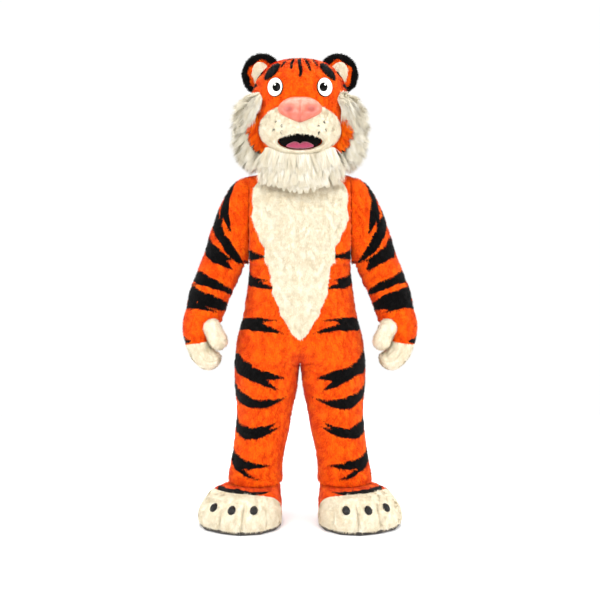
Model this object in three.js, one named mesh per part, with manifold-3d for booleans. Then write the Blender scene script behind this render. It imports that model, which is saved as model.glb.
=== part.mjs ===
// A tiger mascot costume, as worn: a one-piece plush suit with a cream bib, two mitts, two padded
// paw boots and a foam head with a long-pile ruff. Millimetres, +Z up, the face towards -Y and the
// costume's left side at +X. The origin is the middle of the wearer's shoulder line, where the suit
// hangs. Every table gives heights above the floor, and the whole costume is lowered at the end.
import * as THREE from "three";
import { mergeVertices } from "three/addons/utils/BufferGeometryUtils.js";
import Module from "manifold-3d";

const wasm = await Module();
wasm.setup();

// Driving sizes
const SHOULDER_HEIGHT = 1490; // floor to the shoulder line
const PLUSH = 5; // fabric with its pile brushed down
const HEAD_WALL = 11; // carved foam under plush
const SEAM = 0.3; // gap between neighbouring pieces
const SINK = 7; // how deep an applied piece is drawn before the surface under it is cut away
const UNDERARM = 1130; // height of the underarm point
const CHEST_RISE = 400; // how much the row number grows from the underarm to the neckline
const CHEST = { half: 221, front: 152, back: 138, neckSwell: 20, armSwell: 82 };
const SHOULDER = { neck: 1550, tip: 1510 }; // height of the shoulder seam at its two ends
const NECK = { half: 95, front: 100, back: 92 };
const ZIP = { half: 8, bottom: 830, recess: 1.2, thick: 1.6 };
const SLIDER = { row: 1478, lift: 0.4, wide: 11, thick: 4, tall: 15, lug: 1.2, lugTall: 3.2 };
const PIN = { radius: 1, out: 6.8, up: 3 };
const TAB = { wide: 9, thick: 1.6, long: 34, neck: 6.4, neckLong: 4, eye: 2.2, hole: 1.3 };
const BIB_TIP = 815;
const RING_SIDES = 16; // facets round a sleeve, a mitt or a boot's collar
const FOOT_TURN = 29; // degrees the toes point outwards
const SOLE = 14; // height of the boot's flat foam sole

// Legs and lower body. lobe is how far each half's centre stands from the middle, half its half
// width, so the two halves part at the crotch, where lobe equals half.
const BODY_RINGS = [
  { row: 170, lobe: 198, half: 120, front: 120, back: 122 },
  { row: 200, lobe: 197, half: 122, front: 120, back: 123 },
  { row: 225, lobe: 194, half: 117, front: 115, back: 120 },
  { row: 260, lobe: 190, half: 116, front: 113, back: 120 },
  { row: 320, lobe: 180, half: 116, front: 113, back: 121 },
  { row: 390, lobe: 168, half: 119, front: 118, back: 125 },
  { row: 460, lobe: 158, half: 122, front: 126, back: 130 },
  { row: 540, lobe: 151, half: 130, front: 135, back: 140 },
  { row: 620, lobe: 148, half: 140, front: 145, back: 150 },
  { row: 690, lobe: 144, half: 144, front: 151, back: 157 },
  { row: 702, lobe: 140, half: 147, front: 153, back: 159 },
  { row: 720, lobe: 131, half: 154, front: 156, back: 161 },
  { row: 760, lobe: 106, half: 175, front: 162, back: 164 },
  { row: 805, lobe: 76, half: 200, front: 167, back: 162 },
  { row: 857, lobe: 45, half: 218, front: 168, back: 155 },
  { row: 910, lobe: 20, half: 228, front: 167, back: 147 },
  { row: 963, lobe: 4, half: 236, front: 165, back: 141 },
  { row: 1020, lobe: 0, half: 232, front: 161, back: 138 },
  { row: 1075, lobe: 0, half: 225, front: 156, back: 138 },
  { row: UNDERARM, lobe: 0, half: CHEST.half, front: CHEST.front, back: CHEST.back },
];

// Half width of the bib on each row of the front; rows past UNDERARM climb the chest to the neck.
const BIB_ROWS = [
  { row: BIB_TIP, half: 8 },
  { row: 835, half: 30 },
  { row: 868, half: 50 },
  { row: 919, half: 78 },
  { row: 987, half: 107 },
  { row: 1033, half: 121 },
  { row: 1085, half: 124 },
  { row: UNDERARM, half: 138 },
  { row: 1170, half: 150 },
  { row: 1215, half: 154 },
  { row: 1262, half: 176 },
  { row: 1312, half: 200 },
  { row: 1372, half: 205 },
  { row: 1440, half: 190 },
  { row: 1490, half: 140 },
  { row: UNDERARM + CHEST_RISE, half: 86 },
];

// Rows of the front and back panels below the bib's tip, where the leg needs no more than these.
const LEG_ROWS = [170, 200, 225, 260, 320, 390, 460, 540, 620, 690, 705, 725, 765];

// Sleeve rings: the point on the outer edge, the point on the inner edge, the half depth front to
// back, and how far the ring stands forward. The first ring is the armhole.
const ARMHOLE_X = CHEST.half + SEAM;
const SLEEVE_RINGS = [
  { outX: ARMHOLE_X, outZ: SHOULDER.tip, inX: ARMHOLE_X, inZ: UNDERARM, deep: CHEST.armSwell, y: 0 },
  { outX: 262, outZ: 1500, inX: 223, inZ: 1129, deep: 88, y: 0 },
  { outX: 300, outZ: 1470, inX: 225, inZ: 1128, deep: 93, y: 0 },
  { outX: 331, outZ: 1425, inX: 227, inZ: 1127, deep: 96, y: 0 },
  { outX: 358, outZ: 1368, inX: 230, inZ: 1126, deep: 97, y: -1 },
  { outX: 381, outZ: 1304, inX: 233, inZ: 1125, deep: 97, y: -2 },
  { outX: 402, outZ: 1240, inX: 237, inZ: 1123, deep: 95, y: -4 },
  { outX: 422, outZ: 1176, inX: 243, inZ: 1117, deep: 93, y: -7 },
  { outX: 450, outZ: 1104, inX: 273, inZ: 1047, deep: 91, y: -12 },
  { outX: 475, outZ: 1040, inX: 301, inZ: 985, deep: 89, y: -18 },
  { outX: 492, outZ: 980, inX: 322, inZ: 930, deep: 86, y: -24 },
  { outX: 501, outZ: 925, inX: 336, inZ: 887, deep: 80, y: -28 },
];

// Mitt rings in the same terms, from the wrist to the knuckle seam and on round the curled fingers.
const MITT_RINGS = [
  { outX: 501, outZ: 924.7, inX: 336, inZ: 886.7, deep: 80, y: -28 },
  { outX: 508, outZ: 882, inX: 366, inZ: 862, deep: 76, y: -33 },
  { outX: 509, outZ: 842, inX: 386, inZ: 838, deep: 70, y: -38 },
  { outX: 504, outZ: 806, inX: 393, inZ: 816, deep: 67, y: -42 },
  { outX: 498, outZ: 784, inX: 393, inZ: 801, deep: 66, y: -45 },
];
const FINGER_RINGS = [
  { outX: 497.8, outZ: 783.6, inX: 392.8, inZ: 800.6, deep: 66, y: -45 },
  { outX: 482, outZ: 738, inX: 388, inZ: 779, deep: 66, y: -46 },
  { outX: 455, outZ: 700, inX: 379, inZ: 765, deep: 66, y: -47 },
  { outX: 421, outZ: 676, inX: 371, inZ: 757, deep: 65, y: -48 },
  { outX: 386, outZ: 673, inX: 364, inZ: 752, deep: 63, y: -49 },
  { outX: 357, outZ: 690, inX: 358, inZ: 748, deep: 57, y: -50 },
  { outX: 344, outZ: 714, inX: 353, inZ: 744, deep: 38, y: -50 },
  { outX: 345, outZ: 733, inX: 345, inZ: 733, deep: 0, y: -50 },
];
// The thumb lies along the palm: its axis from root to tip and its radius.
const THUMB = { root: [382, -84, 862], tip: [352, -87, 802], radius: 40 };

// Boot: plan outline round the ankle by angle from the toe, and the row where cream meets orange.
const BOOT_PLAN = [
  { row: 0, reach: 286, border: 4.8 },
  { row: 20, reach: 284, border: 4.8 },
  { row: 40, reach: 256, border: 4.4 },
  { row: 60, reach: 204, border: 3.5 },
  { row: 80, reach: 149, border: 1.9 },
  { row: 95, reach: 127, border: 0.9 },
  { row: 120, reach: 114, border: 0.7 },
  { row: 150, reach: 118, border: 0.7 },
  { row: 180, reach: 124, border: 0.7 },
];
// How the boot's upper runs from the sole's edge (share 0) to its collar (share 1).
const BOOT_RISE = [
  { row: 0, share: 0, z: 14.3 },
  { row: 1, share: -0.03, z: 45 },
  { row: 2, share: 0.03, z: 80 },
  { row: 3, share: 0.16, z: 111 },
  { row: 4, share: 0.34, z: 141 },
  { row: 5, share: 0.6, z: 155 },
  { row: 6, share: 0.83, z: 162 },
  { row: 7, share: 0.96, z: 167 },
  { row: 8, share: 1, z: 182 },
  { row: 9, share: 1, z: 212 },
];
const BOOT_COLLAR = 99; // radius
const BORDER_GAP = 0.012; // rows between the cream toes and the orange upper, 0.3 mm or more
const FOOT_AT = { x: 198, y: 2 };
const CLAWS = [
  { angle: -30, row: 2.7 },
  { angle: -9, row: 2.7 },
  { angle: 11, row: 2.7 },
];
const CLAW = { half: 17, tall: 18, swell: 10 };

// Head rings from the neck opening to the crown. Below 1955 the row is the height itself.
const HEAD_RINGS = [
  { row: 1538, z: 1538, half: 133, front: 137, back: 138 },
  { row: 1562, z: 1562, half: 149, front: 155, back: 155 },
  { row: 1592, z: 1592, half: 174, front: 174, back: 174 },
  { row: 1640, z: 1640, half: 198, front: 190, back: 192 },
  { row: 1710, z: 1710, half: 213, front: 202, back: 207 },
  { row: 1780, z: 1780, half: 215, front: 205, back: 213 },
  { row: 1845, z: 1845, half: 209, front: 201, back: 209 },
  { row: 1905, z: 1905, half: 192, front: 186, back: 196 },
  { row: 1955, z: 1955, half: 161, front: 157, back: 168 },
  { row: 1992, z: 1989, half: 118, front: 114, back: 124 },
  { row: 2024, z: 2006, half: 62, front: 60, back: 66 },
  { row: 2050, z: 2011, half: 0, front: 0, back: 0 },
];
const MUZZLE = { z: 1700, half: 172, tall: 106, swell: 50 };
const PUFF = { x: 66, z: 1712, swell: 26, wide: 56 };
const NOSE = { z: 1770, half: 79, tall: 47, swell: 40 };
const MOUTH = { z: 1650, half: 88, rise: 30, drop: 34, back: 150, liner: -174 };
const EYE = { x: 102, z: 1872, half: 32, tall: 41, swell: 12 };
const BROW = { x: 116, z: 1944, half: 46, tall: 17, swell: 7, lean: -50 };
const EAR = { x: 164, z: 1950, y: 14, lean: 20, facing: 14 };
// Half section of an ear, from the middle of its back over the rim to the middle of its dish.
const EAR_PROFILE = [
  { radius: 0, y: 26 },
  { radius: 46, y: 22 },
  { radius: 74, y: 11 },
  { radius: 87, y: -5 },
  { radius: 83, y: -17 },
  { radius: 68, y: -17 },
  { radius: 48, y: -8 },
  { radius: 0, y: -4 },
];
const EAR_DISH = EAR_PROFILE.slice(4).map((p) => ({ row: p.radius, y: p.y })).reverse();
const EAR_LINING = { half: 37, tall: 51, thick: 6 };
const TONGUE = { x: 25, y: -204, z: 1627, half: 33, deep: 24, tall: 17 };

// Side ruff: the azimuths, from the face round to the nape, between which its pile is rooted.
const RUFF_ROWS = [
  { row: 1590, from: 63, to: 150, reach: 74, sag: 34 },
  { row: 1635, from: 69.5, to: 142, reach: 90, sag: 30 },
  { row: 1690, from: 71.5, to: 134, reach: 88, sag: 22 },
  { row: 1745, from: 71, to: 128, reach: 84, sag: 12 },
  { row: 1790, from: 54, to: 122, reach: 78, sag: 0 },
  { row: 1825, from: 48, to: 116, reach: 58, sag: -4 },
  { row: 1858, from: 55, to: 108, reach: 22, sag: -4 },
];
const CHEEK_ROWS = [
  { row: 1612, from: 51, to: 60, reach: 16, sag: 6 },
  { row: 1645, from: 52.5, to: 66.5, reach: 28, sag: 8 },
  { row: 1690, from: 56, to: 69.5, reach: 34, sag: 6 },
  { row: 1735, from: 55.5, to: 68, reach: 30, sag: 3 },
  { row: 1762, from: 55, to: 62, reach: 14, sag: 0 },
];
// Beard, below the muzzle: how far the pile stands off the head, by share of the way down.
const BEARD_ROWS = [
  { row: 0, reach: 6, back: -SINK },
  { row: 0.22, reach: 44, back: -SINK },
  { row: 0.45, reach: 66, back: -SINK },
  { row: 0.7, reach: 68, back: 8 },
  { row: 0.88, reach: 54, back: 18 },
  { row: 1, reach: 34, back: 24 },
];
// The beard's edges by azimuth.
const BEARD_EDGES = [
  { row: 0, top: 1590, bottom: 1446 },
  { row: 18, top: 1593, bottom: 1458 },
  { row: 30, top: 1603, bottom: 1480 },
  { row: 40, top: 1616, bottom: 1503 },
  { row: 48, top: 1616, bottom: 1520 },
  { row: 52, top: 1606, bottom: 1527 },
  { row: 62, top: 1596, bottom: 1536 },
];

// Materials
const finish = (color, roughness, metalness = 0) =>
  new THREE.MeshStandardMaterial({ color, roughness, metalness });
const orangePlush = finish(0xf4600c, 0.95);
const creamPlush = finish(0xf0e7d2, 0.95);
const creamPile = finish(0xeee3cc, 0.98);
const blackPlush = finish(0x14120f, 0.95);
const pinkVinyl = finish(0xe88a74, 0.55);
const whitePlastic = finish(0xf5f5f2, 0.25);
const blackPlastic = finish(0x0b0b0d, 0.2);
const darkGauze = finish(0x0a0809, 0.9);
const tonguePink = finish(0xb04a64, 0.8);
const soleFoam = finish(0x2a2624, 0.9);
const zipTape = finish(0xd8560f, 0.8);
const zipMetal = finish(0x9a9a98, 0.35, 1);

const costume = new THREE.Group();
costume.position.z = -SHOULDER_HEIGHT;

function place(name, geometry, material) {
  const mesh = new THREE.Mesh(geometry, material);
  mesh.name = name;
  costume.add(mesh);
  return mesh;
}

// The same geometry on the costume's left side and, mirrored, on its right.
function placePair(name, geometry, material) {
  place(`${name}_left`, geometry, material);
  place(`${name}_right`, geometry, material).scale.x = -1;
}

const inRadians = (degrees) => (degrees * Math.PI) / 180;
const clamp = (x, low, high) => Math.min(high, Math.max(low, x));
const steps = (count, from, to) =>
  Array.from({ length: count + 1 }, (_, i) => from + ((to - from) * i) / count);

// A table's columns at any row between its first and last, on a smooth curve through its rows.
function read(table, at) {
  const last = table.length - 1;
  let i = table.findIndex((r) => r.row > at);
  i = i < 0 ? last - 1 : Math.max(0, i - 1);
  const [p, q] = [table[i], table[i + 1]];
  const [before, after] = [table[Math.max(0, i - 1)], table[Math.min(last, i + 2)]];
  const span = q.row - p.row;
  const t = clamp((at - p.row) / span, 0, 1);
  const found = {};
  for (const key of Object.keys(p)) {
    const slopeP = ((q[key] - before[key]) / (q.row - before.row)) * span;
    const slopeQ = ((after[key] - p[key]) / (after.row - p.row)) * span;
    found[key] =
      p[key] * (2 * t ** 3 - 3 * t ** 2 + 1) +
      slopeP * (t ** 3 - 2 * t ** 2 + t) +
      q[key] * (3 * t ** 2 - 2 * t ** 3) +
      slopeQ * (t ** 3 - t ** 2);
  }
  return found;
}

// The outward normal of surface(u, v), from points close by. turn is 1 or -1 for the way u and v run.
function normalAt(surface, u, v, stepU, stepV, turn) {
  const alongU = surface(u + stepU, v).sub(surface(u - stepU, v));
  const alongV = surface(u, v + stepV).sub(surface(u, v - stepV));
  return alongU.cross(alongV).multiplyScalar(turn).normalize();
}

// A closed body between two grids of points, grid[row][column]. closed means the columns meet again.
function bodyBetween(outer, inner, closed) {
  const rows = outer.length;
  const columns = outer[0].length;
  const flat = [...outer.flat(), ...inner.flat()];
  const id = (layer, j, i) => layer * rows * columns + j * columns + (i % columns);
  const corners = [];
  const quad = (a, b, c, d) => corners.push(a, b, c, a, c, d);
  const spans = closed ? columns : columns - 1;
  for (let j = 0; j < rows - 1; j++)
    for (let i = 0; i < spans; i++) {
      quad(id(0, j, i), id(0, j, i + 1), id(0, j + 1, i + 1), id(0, j + 1, i));
      quad(id(1, j, i), id(1, j + 1, i), id(1, j + 1, i + 1), id(1, j, i + 1));
    }
  for (let i = 0; i < spans; i++) {
    quad(id(0, 0, i), id(1, 0, i), id(1, 0, i + 1), id(0, 0, i + 1));
    quad(id(0, rows - 1, i), id(0, rows - 1, i + 1), id(1, rows - 1, i + 1), id(1, rows - 1, i));
  }
  if (!closed)
    for (let j = 0; j < rows - 1; j++) {
      quad(id(0, j, 0), id(0, j + 1, 0), id(1, j + 1, 0), id(1, j, 0));
      const end = columns - 1;
      quad(id(0, j, end), id(1, j, end), id(1, j + 1, end), id(0, j + 1, end));
    }
  return facingOut(flat, corners);
}

// A geometry from points and triangle corners, without empty triangles and with its faces outwards.
function facingOut(points, corners) {
  const geometry = new THREE.BufferGeometry();
  geometry.setAttribute(
    "position",
    new THREE.Float32BufferAttribute(points.flatMap((p) => [p.x, p.y, p.z]), 3),
  );
  geometry.setIndex(corners);
  const merged = mergeVertices(geometry, 1e-3);
  const position = merged.getAttribute("position");
  const at = (k) => new THREE.Vector3().fromBufferAttribute(position, k);
  const kept = [];
  let volume = 0;
  for (let k = 0; k < merged.index.count; k += 3) {
    const [a, b, c] = [0, 1, 2].map((n) => merged.index.getX(k + n));
    if (a === b || b === c || a === c) continue;
    kept.push(a, b, c);
    volume += at(a).dot(at(b).cross(at(c)));
  }
  if (volume < 0)
    for (let k = 0; k < kept.length; k += 3) [kept[k], kept[k + 1]] = [kept[k + 1], kept[k]];
  merged.setIndex(kept);
  return merged;
}

// A cloth wall under surface(u, v). settle may move an inner point, as at an edge that has to stay flat.
function wall(surface, us, vs, { thick = PLUSH, closed = false, turn = 1, step = [0.01, 0.5], settle }) {
  const outer = vs.map((v) => us(v).map((u) => surface(u, v)));
  const inner = vs.map((v, j) =>
    us(v).map((u, i) => {
      const moved = outer[j][i]
        .clone()
        .addScaledVector(normalAt(surface, u, v, step[0], step[1], turn), -thick);
      return settle ? settle(moved, outer[j][i], j, i) : moved;
    }),
  );
  return bodyBetween(outer, inner, closed);
}

// A raised pad on surface(u, v), sunk into it and standing height(r, u, v) off it at share r of its
// half sizes. scale is the millimetres in one step of u and of v, and lean turns the pad in degrees.
function pad(surface, centre, half, height, { scale, lean = 0, turn = 1, step, spokes = 14, rings = 2 }) {
  const [cos, sin] = [Math.cos(inRadians(lean)), Math.sin(inRadians(lean))];
  const layer = (reach) =>
    steps(rings, 1, 0).map((r) =>
      steps(spokes, 0, 2 * Math.PI)
        .slice(0, -1)
        .map((angle) => {
          const [x, z] = [half[0] * r * Math.cos(angle), half[1] * r * Math.sin(angle)];
          const u = centre[0] + (x * cos - z * sin) / scale[0];
          const v = centre[1] + (x * sin + z * cos) / scale[1];
          const normal = normalAt(surface, u, v, step[0], step[1], turn);
          return surface(u, v).addScaledVector(normal, reach(r, u, v));
        }),
    );
  return bodyBetween(layer((r, u, v) => SEAM + height(r, u, v)), layer(() => -SINK), true);
}

function solid(geometry) {
  const bare = geometry.clone();
  bare.deleteAttribute("normal");
  bare.deleteAttribute("uv");
  const merged = mergeVertices(bare, 1e-3);
  return new wasm.Manifold(
    new wasm.Mesh({
      numProp: 3,
      vertProperties: new Float32Array(merged.getAttribute("position").array),
      triVerts: new Uint32Array(merged.index.array),
    }),
  );
}

function geometryOf(manifold) {
  const mesh = manifold.getMesh();
  const geometry = new THREE.BufferGeometry();
  geometry.setAttribute("position", new THREE.BufferAttribute(mesh.vertProperties, 3));
  geometry.setIndex(new THREE.BufferAttribute(mesh.triVerts, 1));
  return geometry;
}

// ---- Suit -----------------------------------------------------------------------------------

const shoulderHeight = (x) =>
  SHOULDER.tip + (SHOULDER.neck - SHOULDER.tip) * (1 - Math.abs(x) / CHEST.half);

// How far the chest's arch swings up from the underarm level before it meets the neckline at x.
function archEnd(x, depth, swell, neckDepth) {
  if (Math.abs(x) >= NECK.half) return Math.PI / 2;
  const neckY = neckDepth * Math.sqrt(1 - (x / NECK.half) ** 2);
  let [low, high] = [0, Math.PI / 2];
  for (let i = 0; i < 30; i++) {
    const mid = (low + high) / 2;
    if (depth * Math.cos(mid) + swell * Math.sin(2 * mid) > neckY) low = mid;
    else high = mid;
  }
  return low;
}

// A point of the left half of the body. face is -1 for the front and 1 for the back.
function bodyPoint(face, angle, row) {
  const ring = read(BODY_RINGS, Math.min(row, UNDERARM));
  const deep = face < 0 ? ring.front : ring.back;
  const x = ring.lobe + ring.half * Math.cos(angle);
  if (row <= UNDERARM) return new THREE.Vector3(x, face * deep * Math.sin(angle), row);
  const share = Math.min(1, Math.abs(x) / CHEST.half);
  const swell = CHEST.neckSwell + (CHEST.armSwell - CHEST.neckSwell) * share ** 2;
  const depth = deep * Math.abs(Math.sin(angle));
  const end = archEnd(x, depth, swell, face < 0 ? NECK.front : NECK.back);
  const arch = ((row - UNDERARM) / CHEST_RISE) * end;
  const y = Math.max(SEAM / 2, depth * Math.cos(arch) + swell * Math.sin(2 * arch));
  const climb = Math.max(0, Math.sin(arch)) ** (1 + share ** 2);
  return new THREE.Vector3(x, face * y, UNDERARM + (shoulderHeight(x) - UNDERARM) * climb);
}

// The angle at which a row of the body stands x from the middle.
function angleAt(row, x) {
  const ring = read(BODY_RINGS, Math.min(row, UNDERARM));
  return Math.acos(clamp((x - ring.lobe) / ring.half, -1, 1));
}

const bibHalf = (row) => read(BIB_ROWS, row).half;
const bodyRows = [...LEG_ROWS, ...BIB_ROWS.map((r) => r.row)];
const seamAngle = SEAM / 2 / 120; // half a seam gap on a body about 120 deep

function bodyPanel(face, inner) {
  const columns = 7;
  const us = (row) => {
    const last = Math.min(angleAt(row, inner(row)), Math.PI - seamAngle);
    return steps(columns, last, seamAngle);
  };
  const flatArmhole = (moved, outer, j, i) => {
    if (i === columns && bodyRows[j] > UNDERARM) moved.x = outer.x;
    if (bodyRows[j] === UNDERARM + CHEST_RISE && i > 0) moved.y = outer.y;
    return moved;
  };
  const surface = (u, v) => bodyPoint(face, u, v);
  return wall(surface, us, bodyRows, { turn: face, settle: flatArmhole, step: [0.004, 0.4] });
}

function bibGeometry() {
  const columns = 12;
  const surface = (u, v) => {
    const edge = angleAt(v, bibHalf(v) - SEAM);
    const middle = angleAt(v, 0);
    const point = bodyPoint(-1, middle + (edge - middle) * Math.abs(u), v);
    if (u < 0) point.x = -point.x;
    return point;
  };
  const rows = BIB_ROWS.map((r) => r.row);
  return wall(surface, () => steps(columns, -1, 1), rows, { turn: 1, step: [0.004, 0.4] });
}

function zipGeometry() {
  const surface = (u, v) => {
    const point = bodyPoint(1, angleAt(v, Math.abs(u)), v);
    if (u < 0) point.x = -point.x;
    return point;
  };
  const recessed = (u, v) =>
    surface(u, v).addScaledVector(normalAt(surface, u, v, 2, 0.5, -1), -ZIP.recess);
  const rows = bodyRows.filter((r) => r >= ZIP.bottom && r < UNDERARM + CHEST_RISE);
  const half = ZIP.half - SEAM;
  return wall(recessed, () => [-half, 0, half], [...rows, UNDERARM + CHEST_RISE - 6], {
    turn: -1,
    thick: ZIP.thick,
    step: [2, 0.5],
  });
}

// Points of a sleeve or mitt ring, grown outwards in the ring's own plane.
const ringCentre = (ring) =>
  new THREE.Vector3((ring.outX + ring.inX) / 2, ring.y, (ring.outZ + ring.inZ) / 2);
function ringPoint(ring, angle, grow) {
  const away = new THREE.Vector3((ring.outX - ring.inX) / 2, 0, (ring.outZ - ring.inZ) / 2);
  away.multiplyScalar(Math.cos(angle));
  away.y = ring.deep * Math.sin(angle);
  const reach = away.length();
  return ringCentre(ring).add(away.multiplyScalar(reach > 0 ? (reach + grow) / reach : 0));
}
const ringSides = steps(RING_SIDES, 0, 2 * Math.PI).slice(0, -1);
const ringGrid = (rings, grow) => rings.map((ring) => ringSides.map((u) => ringPoint(ring, u, grow)));

// A cloth tube through a table of rings. Where the last ring is a point, the wall closes over it.
function tube(rings) {
  const inner = ringGrid(rings, -PLUSH);
  const [before, end] = rings.slice(-2);
  if (end.deep === 0) {
    const inside = ringCentre(end).lerp(ringCentre(before), 0.4);
    inner[inner.length - 1] = ringSides.map(() => inside.clone());
  }
  return bodyBetween(ringGrid(rings, 0), inner, true);
}

// The same tube without its hollow, to cut a neighbour back from it.
const filled = (rings, grow) =>
  solid(bodyBetween(ringGrid(rings, grow), rings.map((ring) => ringSides.map(() => ringCentre(ring))), true));

// The slider stands on the zip. Its lugs hold a round pin, and the tab hangs down the back from it.
function zipHardware() {
  const at = bodyPoint(1, angleAt(SLIDER.row, 0), SLIDER.row);
  const below = bodyPoint(1, angleAt(SLIDER.row - 60, 0), SLIDER.row - 60);
  const above = bodyPoint(1, angleAt(SLIDER.row + 15, 0), SLIDER.row + 15);
  const up = above.clone().sub(below).normalize();
  const out = new THREE.Vector3(0, up.z, -up.y);
  const seat = at.clone().addScaledVector(out, SLIDER.lift);
  const frame = new THREE.Matrix4().makeBasis(new THREE.Vector3(1, 0, 0), out, up).setPosition(seat);
  const box = (wide, deep, tall, x, y, z) =>
    solid(new THREE.BoxGeometry(wide, deep, tall).translate(x, y, z).applyMatrix4(frame));
  const rod = (radius, long) =>
    solid(
      new THREE.CylinderGeometry(radius, radius, long, 24)
        .rotateZ(Math.PI / 2)
        .translate(0, PIN.out, PIN.up)
        .applyMatrix4(frame),
    );
  const lugHigh = PIN.out + SLIDER.lugTall / 2 - SLIDER.thick / 2;
  const lugAt = (TAB.neck + SLIDER.lug) / 2 + SEAM;
  const lug = (side) =>
    box(SLIDER.lug, lugHigh, SLIDER.lugTall, side * lugAt, SLIDER.thick / 2 + lugHigh / 2, PIN.up);
  const plate = box(SLIDER.wide, SLIDER.thick, SLIDER.tall, 0, SLIDER.thick / 2, 0);
  const slider = plate.add(lug(1)).add(lug(-1)).add(rod(PIN.radius, 2 * lugAt));
  const neck = box(TAB.neck, TAB.thick, TAB.neckLong, 0, PIN.out, PIN.up - TAB.neckLong / 2);
  const bladeLong = TAB.long - TAB.neckLong;
  const blade = box(TAB.wide, TAB.thick, bladeLong, 0, PIN.out, PIN.up - TAB.neckLong - bladeLong / 2);
  const eye = rod(TAB.eye, TAB.neck);
  const tab = eye.add(neck).add(blade).subtract(rod(TAB.hole, TAB.wide));
  return { slider: geometryOf(slider), tab: geometryOf(tab) };
}

place("bib", bibGeometry(), creamPlush);
placePair(
  "front",
  bodyPanel(-1, (row) => (row < BIB_TIP ? SEAM / 2 : bibHalf(row))),
  orangePlush,
);
placePair(
  "back",
  bodyPanel(1, (row) => (row < ZIP.bottom ? SEAM / 2 : ZIP.half)),
  orangePlush,
);
place("zip_tape", zipGeometry(), zipTape);
const zip = zipHardware();
place("zip_slider", zip.slider, zipMetal);
place("zip_pull", zip.tab, zipMetal);
placePair("sleeve", tube(SLEEVE_RINGS), orangePlush);


// ---- Mitts ----------------------------------------------------------------------------------

function capsule(radius) {
  const [root, tip] = [new THREE.Vector3(...THUMB.root), new THREE.Vector3(...THUMB.tip)];
  const geometry = new THREE.CapsuleGeometry(radius, root.distanceTo(tip), 4, 12, 1);
  const up = tip.clone().sub(root).normalize();
  geometry.applyQuaternion(new THREE.Quaternion().setFromUnitVectors(new THREE.Vector3(0, 1, 0), up));
  const middle = root.clone().add(tip).multiplyScalar(0.5);
  return solid(geometry.translate(middle.x, middle.y, middle.z));
}

const arm = [...SLEEVE_RINGS.slice(-3), ...MITT_RINGS.slice(1, -1), ...FINGER_RINGS];
const thumbHollow = capsule(THUMB.radius - PLUSH);
const thumb = capsule(THUMB.radius).subtract(thumbHollow).subtract(filled(arm, SEAM));
placePair("mitt_back", geometryOf(solid(tube(MITT_RINGS)).subtract(thumbHollow)), orangePlush);
placePair("mitt_fingers", tube(FINGER_RINGS), creamPlush);
placePair("mitt_thumb", geometryOf(thumb), creamPlush);

// ---- Boots ----------------------------------------------------------------------------------

// A point of the left boot's upper. angle runs in degrees from the toe round to the heel and on.
function bootPoint(angle, row) {
  const away = Math.abs(((angle + 540) % 360) - 180);
  const plan = read(BOOT_PLAN, away);
  const rise = read(BOOT_RISE, row);
  const reach = plan.reach + (BOOT_COLLAR - plan.reach) * rise.share;
  const heading = inRadians(angle + FOOT_TURN);
  return new THREE.Vector3(
    FOOT_AT.x + reach * Math.sin(heading),
    FOOT_AT.y - reach * Math.cos(heading),
    rise.z,
  );
}

const bootAngles = steps(20, -180, 180).slice(0, -1);
const borderRow = (angle) => read(BOOT_PLAN, Math.abs(((angle + 540) % 360) - 180)).border;

// The part of the upper between two rows, either of which may follow the cream's border.
function bootPiece(from, to, rows) {
  const surface = (u, v) => bootPoint(u, from(u) + (to(u) - from(u)) * clamp(v, 0, 1));
  return wall(surface, () => bootAngles, steps(rows, 0, 1), {
    closed: true,
    step: [0.5, 0.02],
    settle: (moved, outer, j) => {
      if (from(0) === 0 && j === 0) moved.z = outer.z;
      return moved;
    },
  });
}

// The boot without its hollow, grown by the seam gap, with the facets of its two pieces.
function bootSolid() {
  const share = (u, from, to, count) => steps(count, from(u), to(u));
  const columns = bootAngles.map((u) => [
    ...share(u, () => 0, borderRow, 5),
    ...share(u, (a) => borderRow(a) + BORDER_GAP, () => 9, 6),
  ]);
  const rows = columns[0].map((_, j) =>
    bootAngles.map((u, i) => {
      const v = columns[i][j];
      return bootPoint(u, v).addScaledVector(normalAt(bootPoint, u, v, 0.5, 0.02, 1), SEAM);
    }),
  );
  const middle = rows.map((ring) =>
    ring.map((p) => new THREE.Vector3(FOOT_AT.x, FOOT_AT.y, p.z)),
  );
  return bodyBetween(rows, middle, true);
}

function soleGeometry() {
  const rim = (share, z) =>
    bootAngles.map((u) => {
      const point = bootPoint(u, 0);
      return new THREE.Vector3(
        FOOT_AT.x + (point.x - FOOT_AT.x) * share,
        FOOT_AT.y + (point.y - FOOT_AT.y) * share,
        z,
      );
    });
  const layers = [rim(0.97, 0), rim(1, 5), rim(1, SOLE), rim(0, SOLE), rim(0, 0)];
  return bodyBetween(layers.slice(0, 4), [layers[0], layers[4], layers[4], layers[4]], true);
}

const bootFill = solid(bootSolid());
function claw({ angle, row }) {
  const made = pad(
    bootPoint,
    [angle, row],
    [CLAW.half, CLAW.tall],
    (r) => CLAW.swell * Math.sqrt(1 - r * r),
    { scale: [4.4, 34], step: [0.5, 0.02], spokes: 10 },
  );
  return geometryOf(solid(made).subtract(bootFill));
}

placePair(
  "boot_toes",
  bootPiece(() => 0, borderRow, 5),
  creamPlush,
);
placePair(
  "boot_upper",
  bootPiece(
    (u) => borderRow(u) + BORDER_GAP,
    () => 9,
    6,
  ),
  orangePlush,
);
placePair("boot_sole", soleGeometry(), soleFoam);
CLAWS.forEach((at, i) => placePair(`claw${i + 1}`, claw(at), blackPlastic));

// ---- Head -----------------------------------------------------------------------------------

// A point of the head. azimuth runs in degrees from the face towards the left ear.
function headPoint(azimuth, row) {
  const ring = read(HEAD_RINGS, clamp(row, 1538, 2050));
  const a = inRadians(azimuth);
  const deep = Math.cos(a) > 0 ? ring.front : ring.back;
  return new THREE.Vector3(ring.half * Math.sin(a), -deep * Math.cos(a), ring.z);
}

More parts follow.
